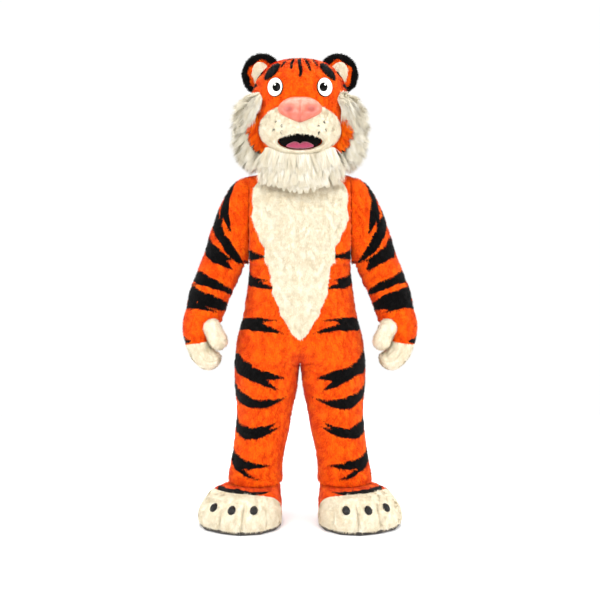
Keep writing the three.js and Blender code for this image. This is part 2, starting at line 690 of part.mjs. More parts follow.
const headStep = [0.5, 1];
const headOut = (u, v) => normalAt(headPoint, u, v, ...headStep, 1);

const headAround = steps(24, -180, 180).slice(0, -1);
const headRows = HEAD_RINGS.map((r) => r.row);
function headLayer(grow) {
  const last = headRows.length - 1;
  return headRows.map((v, j) =>
    headAround.map((u) =>
      j === last
        ? headPoint(u, v).add(new THREE.Vector3(0, 0, grow))
        : headPoint(u, v).addScaledVector(headOut(u, v), grow),
    ),
  );
}

// The whole head as one block, grown by the seam gap, to cut applied pieces back to its surface.
const halfBlank = solid(
  bodyBetween(
    headLayer(SEAM),
    headLayer(0).map((ring) => ring.map((p) => new THREE.Vector3(0, 0, p.z - SINK))),
    true,
  ),
);
const headBlank = halfBlank.add(halfBlank.mirror([1, 0, 0]));
const onHead = (geometry) => geometryOf(solid(geometry).subtract(headBlank));

// A tuft of pile on the head between two azimuths of each row, standing off it and sagging.
function tuft(rows, columns) {
  const layer = (outer) =>
    rows.map((r) =>
      steps(columns, r.from, r.to).map((u, i) => {
        const share = 0.32 + 0.68 * Math.sin(Math.PI * clamp(i / columns, 0.04, 0.96)) ** 0.6;
        const reach = outer ? SEAM + r.reach * share : -SINK;
        const point = headPoint(u, r.row).addScaledVector(headOut(u, r.row), reach);
        if (outer) point.z -= r.sag * share;
        return point;
      }),
    );
  return onHead(bodyBetween(layer(true), layer(false), false));
}

function beardGeometry() {
  const around = steps(12, -62, 62);
  const at = (u, share, reach) => {
    const edge = read(BEARD_EDGES, Math.abs(u));
    const z = edge.top + (edge.bottom - edge.top) * share;
    const out = new THREE.Vector3(Math.sin(inRadians(u)), -Math.cos(inRadians(u)), 0);
    return headPoint(u, Math.max(z, 1562)).setZ(z).addScaledVector(out, reach);
  };
  const layer = (column) => BEARD_ROWS.map((r) => around.map((u) => at(u, r.row, r[column])));
  return onHead(bodyBetween(layer("reach"), layer("back"), false));
}

// The face's forward swell over the muzzle: a broad dome with a puff on each side of the nose.
const azimuthOf = (x, z) => {
  const ring = read(HEAD_RINGS, z);
  return (Math.asin(clamp(x / ring.half, -1, 1)) * 180) / Math.PI;
};
function muzzleHeight(u, v) {
  const point = headPoint(u, v);
  const r = Math.hypot(point.x / MUZZLE.half, (v - MUZZLE.z) / MUZZLE.tall);
  const dome = MUZZLE.swell * Math.max(0, 1 - r ** 2.2) ** 0.8;
  const side = Math.hypot(Math.abs(point.x) - PUFF.x, v - PUFF.z) / PUFF.wide;
  return dome + PUFF.swell * Math.exp(-side * side) * Math.max(0, 1 - r ** 4);
}
const muzzlePoint = (u, v) =>
  headPoint(u, v).addScaledVector(headOut(u, v), Math.max(0, muzzleHeight(u, v)));
const muzzleDraft = (grow) =>
  pad(
    headPoint,
    [0, MUZZLE.z],
    [azimuthOf(MUZZLE.half, MUZZLE.z) + grow, MUZZLE.tall + grow],
    (r, u, v) => Math.max(0, muzzleHeight(u, v)) + grow,
    { scale: [1, 1], step: headStep, spokes: 28, rings: 5 },
  );
const muzzleBlank = solid(muzzleDraft(SEAM + 0.2)).add(headBlank);

// The nose: lobed at the top, tapering to a point below.
function noseGeometry() {
  const layer = (outer) =>
    steps(4, 1, 0).map((r) =>
      steps(24, 0, 2 * Math.PI)
        .slice(0, -1)
        .map((t) => {
          const low = Math.max(0, -Math.sin(t));
          const narrow = 1 - 0.62 * low ** 1.4;
          const top = 1 - 0.14 * Math.max(0, Math.sin(t)) ** 6;
          const x = NOSE.half * r * Math.cos(t) * narrow;
          const z = NOSE.z + NOSE.tall * r * Math.sin(t) * top;
          const u = azimuthOf(x, z);
          const out = normalAt(muzzlePoint, u, z, 1.5, 5, 1);
          const height = outer ? SEAM + NOSE.swell * Math.sqrt(1 - r ** 3) : -SINK;
          return muzzlePoint(u, z).addScaledVector(out, height);
        }),
    );
  return geometryOf(solid(bodyBetween(layer(true), layer(false), true)).subtract(muzzleBlank));
}

// The mouth's outline as a prism running back from in front of the face.
function mouthPrism(shrink, front, back) {
  const shape = new THREE.Shape(
    steps(20, 0, 2 * Math.PI)
      .slice(0, -1)
      .map((t) => {
        const up = Math.sin(t) > 0;
        const bow = up ? 1 - 0.12 * Math.cos(2 * t) : 1;
        const half = MOUTH.half - shrink;
        const tall = (up ? MOUTH.rise * bow : MOUTH.drop) - shrink;
        return new THREE.Vector2(half * Math.cos(t), tall * Math.sin(t));
      }),
  );
  const geometry = new THREE.ExtrudeGeometry(shape, {
    depth: front - back,
    bevelEnabled: false,
    steps: 1,
    curveSegments: 1,
  });
  return geometry.rotateX(Math.PI / 2).translate(0, -back, MOUTH.z);
}

// An eye or a brow, on the head's own curve.
function facePad(at, spokes) {
  const azimuth = azimuthOf(at.x, at.z);
  const ring = read(HEAD_RINGS, at.z);
  const made = pad(
    headPoint,
    [azimuth, at.z],
    [at.half, at.tall],
    (r) => 1.5 + at.swell * Math.sqrt(1 - r * r),
    { scale: [inRadians(ring.half), 1], lean: at.lean ?? 0, step: headStep, spokes, rings: 3 },
  );
  return onHead(made);
}

const earTurn = new THREE.Matrix4()
  .makeTranslation(EAR.x, EAR.y, EAR.z)
  .multiply(new THREE.Matrix4().makeRotationZ(inRadians(EAR.facing)))
  .multiply(new THREE.Matrix4().makeRotationY(inRadians(EAR.lean)));
function earGeometry() {
  const rings = EAR_PROFILE.map((p) =>
    steps(20, 0, 2 * Math.PI)
      .slice(0, -1)
      .map((t) => new THREE.Vector3(p.radius * Math.cos(t), p.y, p.radius * Math.sin(t))),
  );
  const core = rings.map((ring) => ring.map(() => new THREE.Vector3(0, 4, 0)));
  const made = bodyBetween(rings, core, true);
  return onHead(made.applyMatrix4(earTurn));
}

// The cream lining in the ear's dish, its back on the dish's own curve.
function earLining() {
  const dish = (radius) => read(EAR_DISH, radius).y;
  const layer = (off) =>
    steps(3, 1, 0).map((r) =>
      steps(18, 0, 2 * Math.PI)
        .slice(0, -1)
        .map((t) => {
          const [x, z] = [EAR_LINING.half * r * Math.cos(t), EAR_LINING.tall * r * Math.sin(t)];
          const away = Math.hypot(x, z);
          return new THREE.Vector3(x, dish(away) - off(r), z);
        }),
    );
  const made = bodyBetween(layer((r) => 1.5 + EAR_LINING.thick * Math.sqrt(1 - r * r)), layer(() => 1), true);
  return onHead(made.applyMatrix4(earTurn));
}

function tongueGeometry() {
  const lobe = (side) =>
    solid(
      new THREE.SphereGeometry(1, 16, 10)
        .scale(TONGUE.half, TONGUE.deep, TONGUE.tall)
        .translate(side * TONGUE.x, TONGUE.y, TONGUE.z),
    );
  return geometryOf(lobe(1).add(lobe(-1)).intersect(solid(mouthPrism(SEAM, 330, MOUTH.back))));
}

const mouthHole = solid(mouthPrism(0, 330, MOUTH.back));
const shellBody = bodyBetween(headLayer(0), headLayer(-HEAD_WALL), true);
const beardDraft = solid(beardGeometry()).subtract(muzzleBlank);
place("head_shell", geometryOf(solid(shellBody).subtract(mouthHole)), orangePlush);
place(
  "muzzle",
  geometryOf(solid(muzzleDraft(0)).subtract(headBlank).subtract(mouthHole)),
  creamPlush,
);
place("nose", noseGeometry(), pinkVinyl);
place("mouth_liner", mouthPrism(SEAM, -MOUTH.liner, -MOUTH.liner - 3), darkGauze);
place("tongue", tongueGeometry(), tonguePink);
place("beard", geometryOf(beardDraft), creamPile);
placePair("ruff", tuft(RUFF_ROWS, 7), creamPile);
placePair("cheek", geometryOf(solid(tuft(CHEEK_ROWS, 3)).subtract(muzzleBlank)), orangePlush);
placePair("eye", facePad(EYE, 18), whitePlastic);
placePair("brow", facePad(BROW, 14), blackPlush);
placePair("ear", earGeometry(), orangePlush);
placePair("ear_lining", earLining(), creamPlush);

export default costume;
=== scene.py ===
import math

import bmesh
import bpy
import numpy as np
from bpy.props import FloatProperty, FloatVectorProperty, IntProperty, PointerProperty
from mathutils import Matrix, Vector


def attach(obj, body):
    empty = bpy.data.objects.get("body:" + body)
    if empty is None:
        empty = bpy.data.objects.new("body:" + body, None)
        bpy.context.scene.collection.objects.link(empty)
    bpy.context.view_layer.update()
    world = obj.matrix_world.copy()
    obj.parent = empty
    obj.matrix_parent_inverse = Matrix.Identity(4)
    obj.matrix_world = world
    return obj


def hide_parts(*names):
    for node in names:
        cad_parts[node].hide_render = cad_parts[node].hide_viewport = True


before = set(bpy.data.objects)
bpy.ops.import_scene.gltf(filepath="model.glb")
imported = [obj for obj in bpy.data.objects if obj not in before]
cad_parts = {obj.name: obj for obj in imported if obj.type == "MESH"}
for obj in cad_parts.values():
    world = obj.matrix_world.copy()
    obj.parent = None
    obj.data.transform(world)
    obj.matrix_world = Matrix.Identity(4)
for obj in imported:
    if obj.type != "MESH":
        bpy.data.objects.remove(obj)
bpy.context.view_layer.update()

bl_info = {
    "name": "Tiger Mascot Costume",
    "version": (1, 0, 0),
    "blender": (4, 5, 0),
    "location": "View3D > Sidebar > Costume",
    "description": "Plush, long pile, face and boots of a tiger mascot costume",
    "category": "Add Mesh",
}

# ---- Sizes, in millimetres, with heights above the floor ------------------------------------

SHOULDER_HEIGHT = 1490  # the row frame's origin
PLUSH = 5  # cloth with its pile brushed down
SEAM = 0.3
UNDERARM, CHEST_RISE = 1130, 400
CHEST = {"half": 221, "front": 152, "back": 138, "neck_swell": 20, "arm_swell": 82}
SHOULDER = {"neck": 1550, "tip": 1510}
NECK = {"half": 95, "front": 100, "back": 92}
ZIP = {"half": 8, "bottom": 830}
BIB_TIP = 815
FOOT = {"x": 198, "y": 2, "turn": 29, "collar": 99, "sole": 14}
EYE = {"x": 102, "z": 1872, "half": 32, "tall": 41, "swell": 12}
BROW = {"x": 116, "z": 1944, "half": 46, "tall": 17, "swell": 8, "lean": -50}
NOSE = {"z": 1770, "half": 79, "tall": 47, "swell": 40}
MUZZLE = {"z": 1700, "half": 172, "tall": 106, "swell": 50}
PUFF = {"x": 66, "z": 1712, "swell": 26, "wide": 56}
MOUTH = {"z": 1650, "half": 88, "rise": 30, "drop": 34}
EAR = {"x": 164, "y": 14, "z": 1950, "lean": 20, "facing": 14}
THUMB = {"root": (382, -84, 862), "tip": (352, -87, 802), "radius": 40}


def table(columns, *rows):
    """A short table as one array for each named column."""
    return {name: np.array(col, float) for name, col in zip(columns.split(), zip(*rows))}


BODY = table(
    "row lobe half front back",
    (170, 198, 120, 120, 122),
    (200, 197, 122, 120, 123),
    (225, 194, 117, 115, 120),
    (260, 190, 116, 113, 120),
    (320, 180, 116, 113, 121),
    (390, 168, 119, 118, 125),
    (460, 158, 122, 126, 130),
    (540, 151, 130, 135, 140),
    (620, 148, 140, 145, 150),
    (690, 144, 144, 151, 157),
    (702, 140, 147, 153, 159),
    (720, 131, 154, 156, 161),
    (760, 106, 175, 162, 164),
    (805, 76, 200, 167, 162),
    (857, 45, 218, 168, 155),
    (910, 20, 228, 167, 147),
    (963, 4, 236, 165, 141),
    (1020, 0, 232, 161, 138),
    (1075, 0, 225, 156, 138),
    (1130, 0, 221, 152, 138),
)
BIB = table(
    "row half",
    (815, 8),
    (835, 30),
    (868, 50),
    (919, 78),
    (987, 107),
    (1033, 121),
    (1085, 124),
    (1130, 138),
    (1170, 150),
    (1215, 154),
    (1262, 176),
    (1312, 200),
    (1372, 205),
    (1440, 190),
    (1490, 140),
    (1530, 86),
)
SLEEVE = table(
    "row out_x out_z in_x in_z deep y",
    (0, 221.3, 1510, 221.3, 1130, 82, 0),
    (1, 262, 1500, 223, 1129, 88, 0),
    (2, 300, 1470, 225, 1128, 93, 0),
    (3, 331, 1425, 227, 1127, 96, 0),
    (4, 358, 1368, 230, 1126, 97, -1),
    (5, 381, 1304, 233, 1125, 97, -2),
    (6, 402, 1240, 237, 1123, 95, -4),
    (7, 422, 1176, 243, 1117, 93, -7),
    (8, 450, 1104, 273, 1047, 91, -12),
    (9, 475, 1040, 301, 985, 89, -18),
    (10, 492, 980, 322, 930, 86, -24),
    (11, 501, 925, 336, 887, 80, -28),
)
MITT = table(
    "row out_x out_z in_x in_z deep y",
    (0, 501, 924.7, 336, 886.7, 80, -28),
    (1, 508, 882, 366, 862, 76, -33),
    (2, 509, 842, 386, 838, 70, -38),
    (3, 504, 806, 393, 816, 67, -42),
    (4, 498, 784, 393, 801, 66, -45),
)
FINGERS = table(
    "row out_x out_z in_x in_z deep y",
    (0, 497.8, 783.6, 392.8, 800.6, 66, -45),
    (1, 482, 738, 388, 779, 66, -46),
    (2, 455, 700, 379, 765, 66, -47),
    (3, 421, 676, 371, 757, 65, -48),
    (4, 386, 673, 364, 752, 63, -49),
    (5, 357, 690, 358, 748, 57, -50),
    (6, 344, 714, 353, 744, 38, -50),
    (7, 345, 733, 345, 733, 0, -50),
)
CLAWS = ((-30, 2.7), (-9, 2.7), (11, 2.7))  # degrees from the toe, and row up the boot
CLAW_CLEAR = 21  # pile is clipped this far round a claw, in millimetres
BOOT_PLAN = table(
    "row reach border",
    (0, 286, 4.8),
    (20, 284, 4.8),
    (40, 256, 4.4),
    (60, 204, 3.5),
    (80, 149, 1.9),
    (95, 127, 0.9),
    (120, 114, 0.7),
    (150, 118, 0.7),
    (180, 124, 0.7),
)
BOOT_RISE = table(
    "row share z",
    (0, 0, 14.3),
    (1, -0.03, 45),
    (2, 0.03, 80),
    (3, 0.16, 111),
    (4, 0.34, 141),
    (5, 0.6, 155),
    (6, 0.83, 162),
    (7, 0.96, 167),
    (8, 1, 182),
    (9, 1, 212),
)
HEAD = table(
    "row z half front back",
    (1538, 1538, 133, 137, 138),
    (1562, 1562, 149, 155, 155),
    (1592, 1592, 174, 174, 174),
    (1640, 1640, 198, 190, 192),
    (1710, 1710, 213, 202, 207),
    (1780, 1780, 215, 205, 213),
    (1845, 1845, 209, 201, 209),
    (1905, 1905, 192, 186, 196),
    (1955, 1955, 161, 157, 168),
    (1992, 1989, 118, 114, 124),
    (2024, 2006, 62, 60, 66),
    (2050, 2011, 0, 0, 0),
)
RUFF = table(
    "row start end reach sag",
    (1590, 63, 150, 74, 34),
    (1635, 69.5, 142, 90, 30),
    (1690, 71.5, 134, 88, 22),
    (1745, 71, 128, 84, 12),
    (1790, 54, 122, 78, 0),
    (1825, 48, 116, 58, -4),
    (1858, 55, 108, 22, -4),
)
CHEEK = table(
    "row start end reach sag",
    (1612, 51, 60, 16, 6),
    (1645, 52.5, 66.5, 28, 8),
    (1690, 56, 69.5, 34, 6),
    (1735, 55.5, 68, 30, 3),
    (1762, 55, 62, 14, 0),
)
BEARD = table(
    "row top bottom",
    (0, 1590, 1446),
    (18, 1593, 1458),
    (30, 1603, 1480),
    (40, 1616, 1503),
    (48, 1616, 1520),
    (52, 1606, 1527),
    (62, 1596, 1536),
)
BEARD_HANG = table(
    "row reach back",
    (0, 6, 1),
    (0.22, 44, 1),
    (0.45, 66, 1),
    (0.7, 68, 8),
    (0.88, 54, 18),
    (1, 34, 24),
)
EAR_PROFILE = table(
    "row radius y",
    (0, 0, 26),
    (1, 46, 22),
    (2, 74, 11),
    (3, 87, -5),
    (4, 83, -17),
    (5, 68, -17),
    (6, 48, -8),
    (7, 0, -4),
)

# Stripes. row is the height or ring at the outer seam, reach how far round the stripe goes before
# its point (1 is the middle of the front), rise and bow its slope and sag in rows, width in
# millimetres, and prong where a second point splits off and how many rows it drops.
STRIPE = "row reach rise bow width prong drop"
FRONT_STRIPES = table(
    STRIPE,
    (1222, 0.62, -52, 6, 46, 2, 0),
    (1078, 0.72, -48, -4, 50, 0.02, 34),
    (868, 1.0, -28, 16, 56, 0.02, 52),
    (722, 1.4, -78, -10, 84, 0.5, -66),
    (600, 1.52, -40, -44, 66, 2, 0),
    (448, 1.46, -16, -40, 66, 0.6, 36),
    (300, 1.42, -42, -14, 56, 0.06, -74),
)
BACK_STRIPES = table(
    STRIPE,
    (1176, 0.94, -30, 12, 42, 0.45, 34),
    (1066, 0.78, -22, 10, 48, 2, 0),
    (968, 0.9, 22, 14, 40, 2, 0),
    (868, 1.0, 26, 10, 54, 0.4, -42),
    (716, 1.5, -36, -20, 76, 0.6, -58),
    (590, 1.42, -30, -22, 56, 2, 0),
    (440, 1.5, -20, -24, 56, 0.7, 34),
    (300, 1.3, -26, -10, 46, 2, 0),
)
SPINE_STRIPES = table(
    STRIPE,
    (1480, 0.62, 12, 0, 40, 2, 0),
    (1400, 0.74, 26, 0, 46, 2, 0),
    (1310, 0.6, 20, 0, 42, 2, 0),
    (1225, 0.5, 18, 0, 36, 2, 0),
)
ARM_FRONT = table(
    STRIPE,
    (2.15, 0.98, 1.5, 0.35, 92, 0.12, 1.75),
    (4.5, 1.75, 1.0, 0.1, 74, 2, 0),
    (6.25, 1.5, 1.15, 0, 78, 0.3, -0.9),
    (8.3, 2.3, 0.55, -0.15, 52, 2, 0),
    (9.45, 2.6, 0.5, -0.15, 70, 2, 0),
    (10.5, 1.5, -0.15, -0.25, 36, 2, 0),
)
ARM_BACK = table(
    STRIPE,
    (1.9, 0.7, 1.5, 0.2, 58, 2, 0),
    (4.35, 1.3, 1.6, 0.2, 44, 0.5, -1.0),
    (6.4, 1.5, 1.5, 0, 46, 2, 0),
    (8.35, 1.9, 0.5, 0, 36, 0.9, 0.9),
    (9.6, 2.2, 0.4, -0.1, 44, 2, 0),
    (10.75, 1.3, 0, 0.2, 26, 2, 0),
)
HAND_STRIPES = table(STRIPE, (2.7, 0.8, 0.5, 0.2, 32, 0.3, 0.55))
BOOT_STRIPES = table(STRIPE, (8.3, 0.95, -0.3, -0.2, 30, 0.3, -0.5), (5.1, 0.62, -0.2, 0, 44, 2, 0))
HEAD_STRIPES = table(  # on the back and sides of the head: reach 1 is the middle of the back
    STRIPE,
    (1945, 0.62, 20, 6, 26, 2, 0),
    (1890, 0.8, 26, 8, 32, 0.4, -26),
    (1815, 0.7, 24, 4, 30, 2, 0),
    (1735, 0.85, 30, 6, 34, 0.45, -30),
    (1650, 0.62, 22, 4, 28, 2, 0),
)
BROW_STRIPES = table(  # up the forehead: azimuth, and the heights where each one starts and ends
    "azimuth low high width lean",
    (0, 1912, 2040, 17, 0),
    (13, 1938, 2040, 14, 3),
    (-13, 1946, 2040, 14, -3),
    (29, 1962, 2046, 12, 6),
    (-29, 1956, 2046, 12, -6),
)

# Creases: a soft trough between two low ridges. at is degrees round from the outer seam, along
# half its length in millimetres, tilt its slope, depth and wide in millimetres.
CREASE = "row at along tilt depth wide"
FRONT_CREASES = table(
    CREASE,
    (178, 70, 95, 0.1, 3.0, 7),
    (200, 110, 80, -0.25, 5.0, 9),
    (228, 60, 105, 0.2, 5.5, 10),
    (248, 125, 75, -0.15, 4.5, 9),
    (282, 85, 70, 0.12, 2.5, 11),
    (418, 60, 60, 0.3, 2.2, 13),
    (448, 120, 55, -0.25, 2.0, 12),
    (668, 150, 52, -0.5, 5.5, 10),
    (700, 136, 60, -0.28, 5.0, 10),
    (735, 128, 66, -0.12, 4.0, 11),
    (640, 158, 40, -0.8, 4.5, 9),
    (790, 60, 70, 0.35, 2.0, 14),
    (1092, 12, 60, -0.6, 3.5, 12),
    (1118, 22, 55, -0.9, 3.5, 10),
    (960, 30, 60, 0.25, 2.0, 14),
)
BACK_CREASES = table(
    CREASE,
    (185, 90, 90, 0.1, 4.0, 8),
    (212, 60, 80, -0.2, 5.0, 9),
    (236, 120, 85, 0.2, 5.0, 10),
    (262, 80, 60, -0.1, 3.0, 10),
    (440, 95, 70, 0.15, 4.5, 11),
    (472, 85, 75, -0.1, 4.0, 11),
    (505, 100, 55, 0.2, 2.5, 11),
    (672, 140, 60, 0.4, 5.5, 11),
    (640, 120, 70, 0.25, 3.5, 12),
    (905, 60, 80, 0.1, 4.0, 14),
    (945, 50, 75, -0.12, 3.5, 13),
    (985, 70, 60, 0.1, 2.5, 13),
    (1105, 14, 60, -0.5, 3.0, 12),
)
ARM_CREASES = table(  # rows and tilt in rings, round from the outer edge
    CREASE,
    (6.1, 180, 70, 0.002, 5.0, 11),
    (6.9, 150, 62, 0.004, 4.5, 10),
    (7.6, 205, 66, -0.003, 5.0, 10),
    (8.4, 165, 58, 0.003, 3.0, 10),
    (2.6, 175, 70, 0.003, 4.0, 12),
    (4.1, 190, 60, -0.003, 3.5, 12),
    (6.6, 60, 48, 0.004, 1.8, 13),
    (7.5, -50, 46, -0.004, 1.8, 13),
    (10.2, 120, 52, 0.003, 2.4, 9),
    (10.6, 230, 52, -0.003, 2.4, 9),
)

# ---- Settings a user would change -----------------------------------------------------------


def linear(hex_colour):
    """An sRGB hex colour as linear red, green and blue."""
    parts = [int(hex_colour[i : i + 2], 16) / 255 for i in (1, 3, 5)]
    return tuple(c / 12.92 if c <= 0.04045 else ((c + 0.055) / 1.055) ** 2.4 for c in parts)


def colour_property(name, description, default):
    return FloatVectorProperty(
        name=name, description=description, default=linear(default), size=3, subtype="COLOR", min=0, max=1
    )


class CostumeSizes(bpy.types.PropertyGroup):
    cell: FloatProperty(
        name="Cloth Cell", description="Size of one face of the cloth", default=0.008, min=0.004, unit="LENGTH"
    )
    nap: FloatProperty(
        name="Plush Pile", description="Length of the short pile", default=0.0105, min=0.0, unit="LENGTH"
    )
    blade: FloatProperty(
        name="Pile Width", description="Width of one tuft of short pile", default=0.0026, min=0.0005, unit="LENGTH"
    )
    density: IntProperty(
        name="Pile Density", description="Tufts of short pile in a square metre", default=70000, min=0
    )
    ruff_hair: FloatProperty(
        name="Ruff Pile", description="Length of the ruff's and beard's long pile", default=0.062, unit="LENGTH"
    )
    seed: IntProperty(name="Seed", description="Starts the random scatter of the pile", default=7, min=0)


class CostumeColours(bpy.types.PropertyGroup):
    orange: colour_property("Orange", "Plush of the body, arms, legs and face", "#f45402")
    # Deep Orange and Light Orange are the one orange plush with painted shade where the pile parts and painted sheen
    # where it lies flat to the light
    orange_deep: colour_property("Deep Orange", "Plush where the pile parts", "#d93d00")
    orange_light: colour_property("Light Orange", "Plush where the pile lies flat to the light", "#fb6e06")
    black: colour_property("Black", "Stripes, brows and ear rims", "#030202")
    cream: colour_property("Cream", "Bib, muzzle, fingers and toes", "#f1e9d3")
    # Deep Cream is the cream plush with painted shade where the pile parts
    cream_deep: colour_property("Deep Cream", "Cream plush where the pile parts", "#dfd0b0")
    vinyl: colour_property("Nose Pink", "Moulded nose", "#e56d50")
    tongue: colour_property("Tongue Pink", "Brushed felt tongue", "#a63f5c")


def sizes():
    return bpy.context.scene.costume_sizes


def colours():
    return bpy.context.scene.costume_colours


# ---- Surfaces -------------------------------------------------------------------------------


def curve(t, column, at):
    """A table's column at any row, on a smooth curve through its rows."""
    rows, values = t["row"], t[column]
    at = np.asarray(at, float)
    last = len(rows) - 1
    i = np.clip(np.searchsorted(rows, at, side="right") - 1, 0, last - 1)
    before, after = np.maximum(i - 1, 0), np.minimum(i + 2, last)
    span = rows[i + 1] - rows[i]
    s = np.clip((at - rows[i]) / span, 0, 1)
    slope_p = (values[i + 1] - values[before]) / (rows[i + 1] - rows[before]) * span
    slope_q = (values[after] - values[i]) / (rows[after] - rows[i]) * span
    return (
        values[i] * (2 * s**3 - 3 * s**2 + 1)
        + slope_p * (s**3 - 2 * s**2 + s)
        + values[i + 1] * (3 * s**2 - 2 * s**3)
        + slope_q * (s**3 - s**2)
    )


def stack(x, y, z):
    return np.stack(np.broadcast_arrays(x, y, z), axis=-1).astype(float)


def arch_end(x, depth, swell, neck_depth):
    """How far the chest's arch swings up before it meets the neckline."""
    inside = np.clip(1 - (x / NECK["half"]) ** 2, 0, None)
    neck_y = neck_depth * np.sqrt(inside)
    low, high = np.zeros_like(x), np.full_like(x, math.pi / 2)
    for _ in range(30):
        mid = (low + high) / 2
        more = depth * np.cos(mid) + swell * np.sin(2 * mid) > neck_y
        low, high = np.where(more, mid, low), np.where(more, high, mid)
    return np.where(np.abs(x) >= NECK["half"], math.pi / 2, low)


def body_point(face, angle, row):
    """The suit's left half. face is -1 in front and 1 behind, angle in radians from the side seam."""
    angle, row = np.broadcast_arrays(np.asarray(angle, float), np.asarray(row, float))
    low = np.minimum(row, UNDERARM)
    deep = curve(BODY, "front" if face < 0 else "back", low)
    x = curve(BODY, "lobe", low) + curve(BODY, "half", low) * np.cos(angle)
    depth = deep * np.abs(np.sin(angle))
    share = np.minimum(1, np.abs(x) / CHEST["half"])
    swell = CHEST["neck_swell"] + (CHEST["arm_swell"] - CHEST["neck_swell"]) * share**2
    end = arch_end(x, depth, swell, NECK["front"] if face < 0 else NECK["back"])
    arch = (row - UNDERARM) / CHEST_RISE * end
    rise = np.maximum(0, np.sin(np.maximum(arch, 0))) ** (1 + share**2)
    top = SHOULDER["tip"] + (SHOULDER["neck"] - SHOULDER["tip"]) * (1 - np.abs(x) / CHEST["half"])
    chest_y = np.maximum(SEAM / 2, depth * np.cos(arch) + swell * np.sin(2 * arch))
    above = row > UNDERARM
    y = np.where(above, chest_y, deep * np.sin(angle))
    z = np.where(above, UNDERARM + (top - UNDERARM) * rise, row)
    return stack(x, face * y, z)


def angle_at(row, x):
    low = np.minimum(row, UNDERARM)
    return np.arccos(np.clip((x - curve(BODY, "lobe", low)) / curve(BODY, "half", low), -1, 1))


def bib_half(row):
    """The bib's cut edge, with the slight waver of hand-cut fur."""
    inside = np.clip((row - BIB_TIP) / 60, 0, 1) * np.clip((1530 - row) / 60, 0, 1)
    return curve(BIB, "half", row) + inside * (2.6 * np.sin(row / 13) + 1.8 * np.sin(row / 7.3 + 1))


def ring_point(t, angle, row, grow=0.0):
    """A sleeve or mitt ring. angle 0 is the outer edge and -90 degrees the front."""
    out = stack(curve(t, "out_x", row), 0, curve(t, "out_z", row))
    inn = stack(curve(t, "in_x", row), 0, curve(t, "in_z", row))
    centre, across = (out + inn) / 2, (out - inn) / 2
    centre[..., 1] += curve(t, "y", row)
    away = across * np.cos(angle)[..., None]
    away[..., 1] += curve(t, "deep", row) * np.sin(angle)
    reach = np.linalg.norm(away, axis=-1, keepdims=True)
    return centre + away * np.where(reach > 1e-6, (reach + grow) / np.maximum(reach, 1e-6), 0)


def boot_point(angle, row):
    """The left boot's upper. angle in degrees from the toe."""
    away = np.abs((angle + 540) % 360 - 180)
    plan, share = curve(BOOT_PLAN, "reach", away), curve(BOOT_RISE, "share", row)
    reach = plan + (FOOT["collar"] - plan) * share
    heading = np.radians(angle + FOOT["turn"])
    return stack(
        FOOT["x"] + reach * np.sin(heading), FOOT["y"] - reach * np.cos(heading), curve(BOOT_RISE, "z", row)
    )


def boot_border(angle):
    return curve(BOOT_PLAN, "border", np.abs((angle + 540) % 360 - 180))


def head_point(azimuth, row):
    """The head. azimuth in degrees from the face towards the left ear."""
    row = np.clip(row, 1538, 2050)
    a = np.radians(azimuth)
    deep = np.where(np.cos(a) > 0, curve(HEAD, "front", row), curve(HEAD, "back", row))
    return stack(curve(HEAD, "half", row) * np.sin(a), -deep * np.cos(a), curve(HEAD, "z", row))


def head_out(azimuth, row):
    u = head_point(azimuth + 0.5, row) - head_point(azimuth - 0.5, row)
    v = head_point(azimuth, row + 1) - head_point(azimuth, row - 1)
    n = np.cross(u, v)
    size = np.linalg.norm(n, axis=-1, keepdims=True)
    return np.where(size > 1e-9, n / np.maximum(size, 1e-9), (0, 0, 1))


def azimuth_of(x, z):
    return np.degrees(np.arcsin(np.clip(x / curve(HEAD, "half", z), -1, 1)))


def muzzle_height(x, z):
    """How far the muzzle stands off the head: a broad dome with a puff each side of the nose."""
    r = np.hypot(x / MUZZLE["half"], (z - MUZZLE["z"]) / MUZZLE["tall"])
    dome = MUZZLE["swell"] * np.maximum(0, 1 - r**2.2) ** 0.8
    side = np.hypot(np.abs(x) - PUFF["x"], z - PUFF["z"]) / PUFF["wide"]
    return np.maximum(0, dome + PUFF["swell"] * np.exp(-side * side) * np.maximum(0, 1 - r**4))


def muzzle_point(x, z, off=0.0):
    a = azimuth_of(x, z)
    return head_point(a, z) + head_out(a, z) * (muzzle_height(x, z) + off)[..., None]


# ---- Patterns and folds on a surface --------------------------------------------------------


def grid_normals(grid, closed, sign):
    if closed:
        u = np.roll(grid, -1, axis=1) - np.roll(grid, 1, axis=1)
    else:
        u = np.gradient(grid, axis=1)
    n = np.cross(u, np.gradient(grid, axis=0)) * sign
    size = np.linalg.norm(n, axis=-1, keepdims=True)
    return n / np.maximum(size, 1e-9)


def row_size(grid, rows):
    """Millimetres of cloth in one row of its table, at each point."""
    step = np.linalg.norm(np.gradient(grid, axis=0), axis=-1)
    return step / np.maximum(np.abs(np.gradient(rows, axis=0)), 1e-9)


def stripes(t, around, rows, scale, shift=0.0):
    """Signed distance to the nearest stripe's edge in millimetres, positive inside it."""
    found = np.full(around.shape, -60.0)
    for k in range(len(t["row"])):
        row, reach, width = t["row"][k], t["reach"][k] * (1 + 0.03 * math.sin(3.1 * k + shift)), t["width"][k]
        s = np.maximum(around / reach, 0)
        waver = 1 + 0.12 * np.sin(9 * s + 2.3 * k + shift) + 0.07 * np.sin(23 * s + 1.1 * k)
        middle = row + t["rise"][k] * s + t["bow"][k] * np.sin(math.pi * np.minimum(s, 1))
        half = width / 2 * waver * (1 - s**1.9)
        found = np.maximum(found, half - np.abs(rows - middle) * scale)
        start, drop = t["prong"][k], t["drop"][k]
        if start < 1.5:
            p = (s - start * 0.8) / (1 - start * 0.8)
            split = middle + drop * p
            half = width * 0.36 * waver * (1 - np.clip(p / 0.86, 0, 3) ** 1.5)
            found = np.maximum(found, np.where(p > 0, half - np.abs(rows - split) * scale, -60))
    return np.maximum(found, -60)


